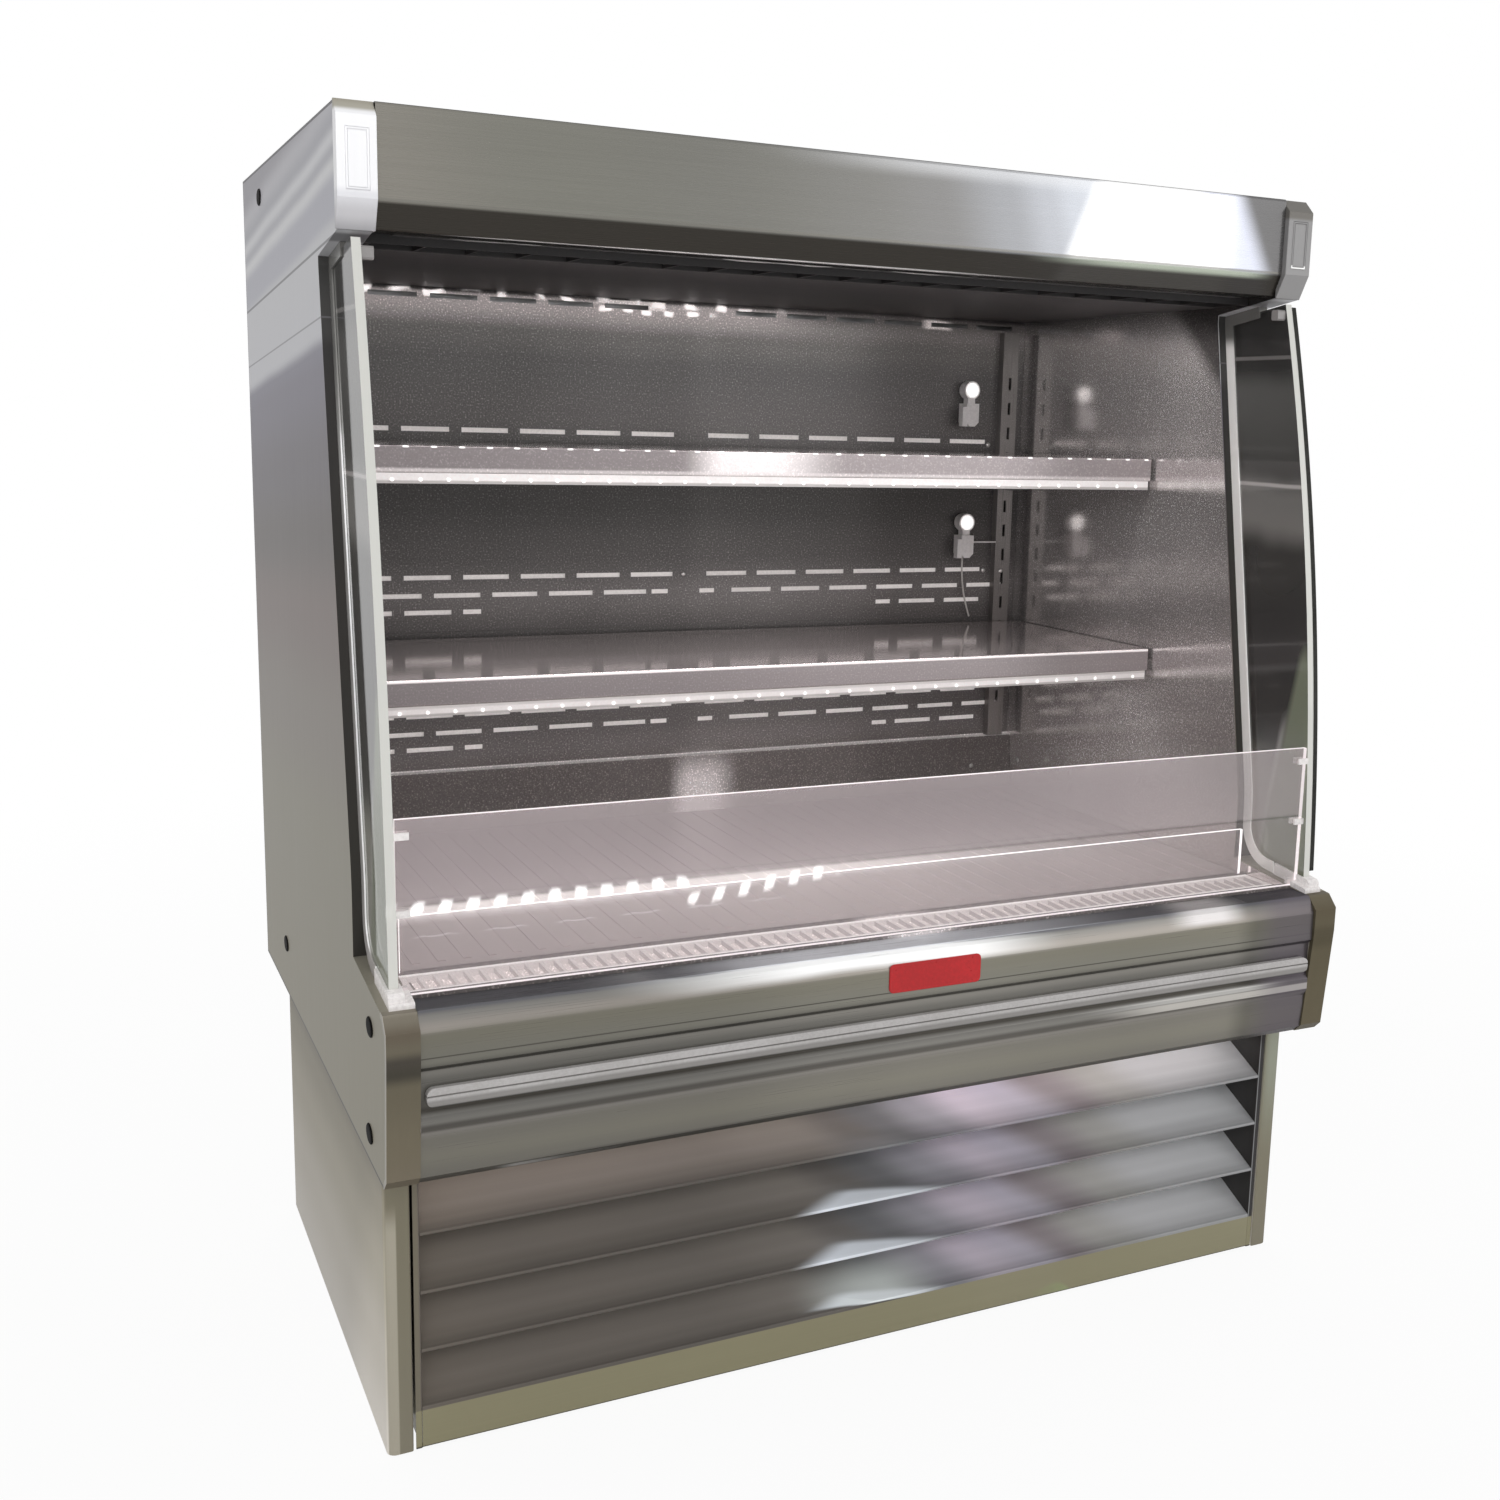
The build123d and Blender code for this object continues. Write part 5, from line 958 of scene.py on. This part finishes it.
print("badge and seals")
badge = {"centre": (0.013, 0.517), "size": (0.127, 0.036), "corner": 0.006, "cornerSteps": 4,
         "seat": 0.004, "rim": [(0.0, 0.0), (0.0, 0.0012), (0.0007, 0.0019), (0.0022, 0.0019),
                                (0.0026, 0.0016)]}


def addBadge(form):
    x, z = badge["centre"]
    width, height = badge["size"]
    corner = badge["corner"]
    rings = []
    for inset, proud in badge["rim"]:
        ring = []
        for quarter in range(4):
            for step in range(badge["cornerSteps"] + 1):
                turn = math.pi / 2 * (quarter + step / badge["cornerSteps"])
                signX = 1 if quarter in (0, 3) else -1
                signZ = 1 if quarter in (0, 1) else -1
                ring.append(at(
                    x + signX * (width / 2 - corner) + math.cos(turn) * (corner - inset),
                    badge["seat"] - proud,
                    z + signZ * (height / 2 - corner) + math.sin(turn) * (corner - inset),
                ))
        rings.append(ring)
    addRings(form, rings)


madePiece("badge_plate", addBadge, "badgeRed")


# Dark strip on the outer side of the right pane's front edge, which follows the pane's arc

edgeStrip = {
    "foot": (0.0442, 0.5750), "middle": (0.0845, 0.9806), "top": (0.1632, 1.3450), "steps": 26,
    "section": [(0.6326, -0.0008), (0.6326, 0.011), (0.6395, 0.011), (0.6415, 0.009),
                (0.6415, 0.0015), (0.6395, -0.0004)],  # (x, distance inward from the arc)
}


def arcThrough(first, second, third, steps):  # points on the arc, each with the way outward
    (ax, ay), (bx, by), (cx, cy) = first, second, third
    size = 2 * (ax * (by - cy) + bx * (cy - ay) + cx * (ay - by))
    ux = ((ax ** 2 + ay ** 2) * (by - cy) + (bx ** 2 + by ** 2) * (cy - ay)
          + (cx ** 2 + cy ** 2) * (ay - by)) / size
    uy = ((ax ** 2 + ay ** 2) * (cx - bx) + (bx ** 2 + by ** 2) * (ax - cx)
          + (cx ** 2 + cy ** 2) * (bx - ax)) / size
    radius = math.hypot(ax - ux, ay - uy)
    start = math.atan2(ay - uy, ax - ux) % (2 * math.pi)
    end = math.atan2(cy - uy, cx - ux) % (2 * math.pi)
    turns = [start + (end - start) * step / steps for step in range(steps + 1)]
    return [(ux + radius * math.cos(turn), uy + radius * math.sin(turn),
             math.cos(turn), math.sin(turn)) for turn in turns]


def addEdgeStrip(form):
    arc = arcThrough(edgeStrip["foot"], edgeStrip["middle"], edgeStrip["top"], edgeStrip["steps"])
    addRings(form, [
        [at(x, depth - outX * inward, z - outZ * inward) for x, inward in edgeStrip["section"]]
        for depth, z, outX, outZ in arc
    ])


madePiece("glass_edge_dark_strip", addEdgeStrip, "darkEdgeFinish")


# Small clips at the upper corner of each pane

glassClip = {"start": 0.6090, "end": 0.6224, "depths": (0.163, 0.176), "heights": (1.327, 1.341),
             "lip": 0.002}


def addGlassClip(form, side):
    near, far = glassClip["depths"]
    low, high = glassClip["heights"]
    lip = glassClip["lip"]
    outline = [(near, low + lip), (near + lip, low), (far - lip, low), (far, low + lip),
               (far, high - lip), (far - lip, high), (near + lip, high), (near, high - lip)]
    addBar(form, outline, side * glassClip["start"], side * glassClip["end"])


for sideName, side in sides.items():
    madePiece(f"glass_top_clip_{sideName}", lambda form: addGlassClip(form, side), "clipPlastic")


# Lamps: a row of round lenses below each lamp body's front edge

print("lamps")
lampRow = {"pitch": 0.035, "count": 34, "steps": 10,
           "profile": [(0.0024, 0.0), (0.0023, 0.0008), (0.0017, 0.0015), (0.0007, 0.0018)],
           "shelves": {"upper_shelf": (0.420, 1.0888), "lower_shelf": (0.400, 0.799)}}
for shelfName, (depth, z) in lampRow["shelves"].items():
    start = -lampRow["pitch"] * (lampRow["count"] - 1) / 2
    centres = [(start + index * lampRow["pitch"], depth, z) for index in range(lampRow["count"])]
    lenses = {**lampRow, "places": [(centre, frontward) for centre in centres]}
    madeTurned(f"{shelfName}_lenses", lenses, "ledLens", body=shelfName)


# Glowing pale strips in the rear duct that show through the slots as painted light, and the short
# ends of the slot rows, inlaid in the face of the rear panels and glowing alike. Their outlines are
# of (depth, height).

ductStrips = {
    "ends": (-0.6, 0.6),
    "outline": [(0.8035, -0.0055), (0.8031, -0.002), (0.8031, 0.002), (0.8035, 0.0055),
                (0.8055, 0.0055), (0.8055, -0.0055)],
    "heights": {"upper": (1.1482, 0.9302, 0.9032, 0.8782), "lower": (0.722, 0.695, 0.671)},
}
shortSlots = {
    "outline": [(0.8002, -0.0035), (0.7997, -0.0032), (0.7997, 0.0032), (0.8002, 0.0035)],
    "places": [
        (-0.064, -0.037, 0.9032), (0.017, 0.042, 0.9032), (-0.064, -0.037, 0.695),
        (0.017, 0.042, 0.695), (-0.363, -0.336, 0.8782), (0.336, 0.363, 0.8782),
        (-0.363, -0.336, 0.671), (0.336, 0.363, 0.671)],
}


def addStrips(form, look, places):
    for start, end, height in places:
        addBar(form, [(depth, height + rise) for depth, rise in look["outline"]], start, end)


for stripName, heights in ductStrips["heights"].items():
    places = [(*ductStrips["ends"], height) for height in heights]
    madePiece(f"duct_strips_{stripName}", lambda form: addStrips(form, ductStrips, places),
              "slotLight")
madePiece("short_slots", lambda form: addStrips(form, shortSlots, shortSlots["places"]),
          "slotLight")


# Contact rings on the lamp sockets, in the glowing LED finish as a painted highlight

socketRings = {
    "steps": 28, "places": [((0.496, 0.778, z), frontward) for z in (1.2332, 1.012)],
    "profile": [(0.0125, 0.0), (0.0125, 0.0008), (0.0118, 0.0014), (0.0098, 0.0014),
                (0.0092, 0.0008), (0.0088, 0.0002)],
}
madeTurned("socket_rings", socketRings, "ledLens")


# Surroundings: white floor and backdrop that show only as background, and a plain even light

print("surroundings")


def seenByLens(graph):  # 1 for camera, glossy and transmission rays
    path = "ShaderNodeLightPath"
    seen = graph.node(path, output="Is Camera Ray")
    for output in ("Is Glossy Ray", "Is Transmission Ray"):
        seen = seen.joined("MAXIMUM", seen, graph.node(path, output=output))
    return seen


floorLook = {"reach": 9, "lit": 244, "shown": 0.93, "fadeStart": 1.4, "fadeEnd": 3.4}


def floorFinish():
    graph = Graph(bpy.data.materials.new("floorWhite"))
    distance = graph.node("ShaderNodeVectorMath", {"operation": "LENGTH"}, {0: graph.place},
                          output="Value")
    shown = graph.rise(distance, floorLook["fadeStart"], floorLook["fadeEnd"],
                       floorLook["shown"], 1.0)
    lit = graph.node("ShaderNodeBsdfDiffuse", inputs={"Color": rgb(floorLook["lit"])})
    plain = graph.node("ShaderNodeEmission", inputs={"Color": rgb(255), "Strength": 1.0})
    mixed = graph.node("ShaderNodeMixShader", inputs={0: seenByLens(graph) * shown, 1: lit, 2: plain})
    graph.node("ShaderNodeOutputMaterial", inputs={"Surface": mixed})
    return graph.owner


floorMesh = bpy.data.meshes.new("floor")
reach = floorLook["reach"]
floorCorners = [(-reach, -reach, 0), (reach, -reach, 0), (reach, reach, 0), (-reach, reach, 0)]
floorMesh.from_pydata(floorCorners, [], [(0, 1, 2, 3)])
floorMesh.materials.append(floorFinish())
floor = bpy.data.objects.new("floor", floorMesh)
bpy.context.scene.collection.objects.link(floor)

worldLook = {"lit": 0.72, "shown": 1.0}
worldGraph = Graph(bpy.data.worlds.new("surround"))
bpy.context.scene.world = worldGraph.owner
levels = {0: seenByLens(worldGraph), 3: worldLook["lit"], 4: worldLook["shown"]}
brightness = worldGraph.node("ShaderNodeMapRange", {}, levels)
surround = worldGraph.node("ShaderNodeBackground", {}, {"Color": rgb(255), "Strength": brightness})
worldGraph.node("ShaderNodeOutputWorld", inputs={"Surface": surround})

lights = {  # place, target, size and power in watts
    "keyLight": ((-1.4, -4.0, 2.6), (0, 0, 0.8), (2.4, 1.8), 24),
    "fillLight": ((2.4, -3.4, 1.8), (0, 0, 0.8), (1.8, 2.0), 12),
    "rearLight": ((0.5, 3.0, 2.4), (0, 0, 0.9), (2.0, 1.5), 14),
    "canopyGlow": ((0, -0.15, 1.33), (0, 0.1, 0.6), (1.1, 0.03), 1.2),
    "upperShelfGlow": ((0, -0.01, 1.08), (0, 0.1, 0.6), (1.1, 0.02), 0.35),
    "lowerShelfGlow": ((0, -0.03, 0.79), (0, 0.05, 0.5), (1.1, 0.02), 1.3),
}


def softLight(name, place, target, size, power):
    light = bpy.data.lights.new(name, "AREA")
    light.shape = "RECTANGLE"
    light.size, light.size_y = size
    light.energy = power
    made = bpy.data.objects.new(name, light)
    made.location = place
    away = Vector(target) - Vector(place)
    made.rotation_euler = away.to_track_quat("-Z", "Y").to_euler()
    bpy.context.scene.collection.objects.link(made)


for lightName, settings in lights.items():
    softLight(lightName, *settings)


# Rounded edges on the moulded caps

capRounding = {"names": ("canopy_cap_left", "canopy_cap_right"), "weld": 0.00002, "width": 0.0032,
               "segments": 3, "angle": 28}
for capName in capRounding["names"]:
    weld = nodes[capName].modifiers.new("joined", "WELD")
    weld.merge_threshold = capRounding["weld"]
    rounding = nodes[capName].modifiers.new("rounded", "BEVEL")
    rounding.width = capRounding["width"]
    rounding.segments = capRounding["segments"]
    rounding.limit_method = "ANGLE"
    rounding.angle_limit = math.radians(capRounding["angle"])
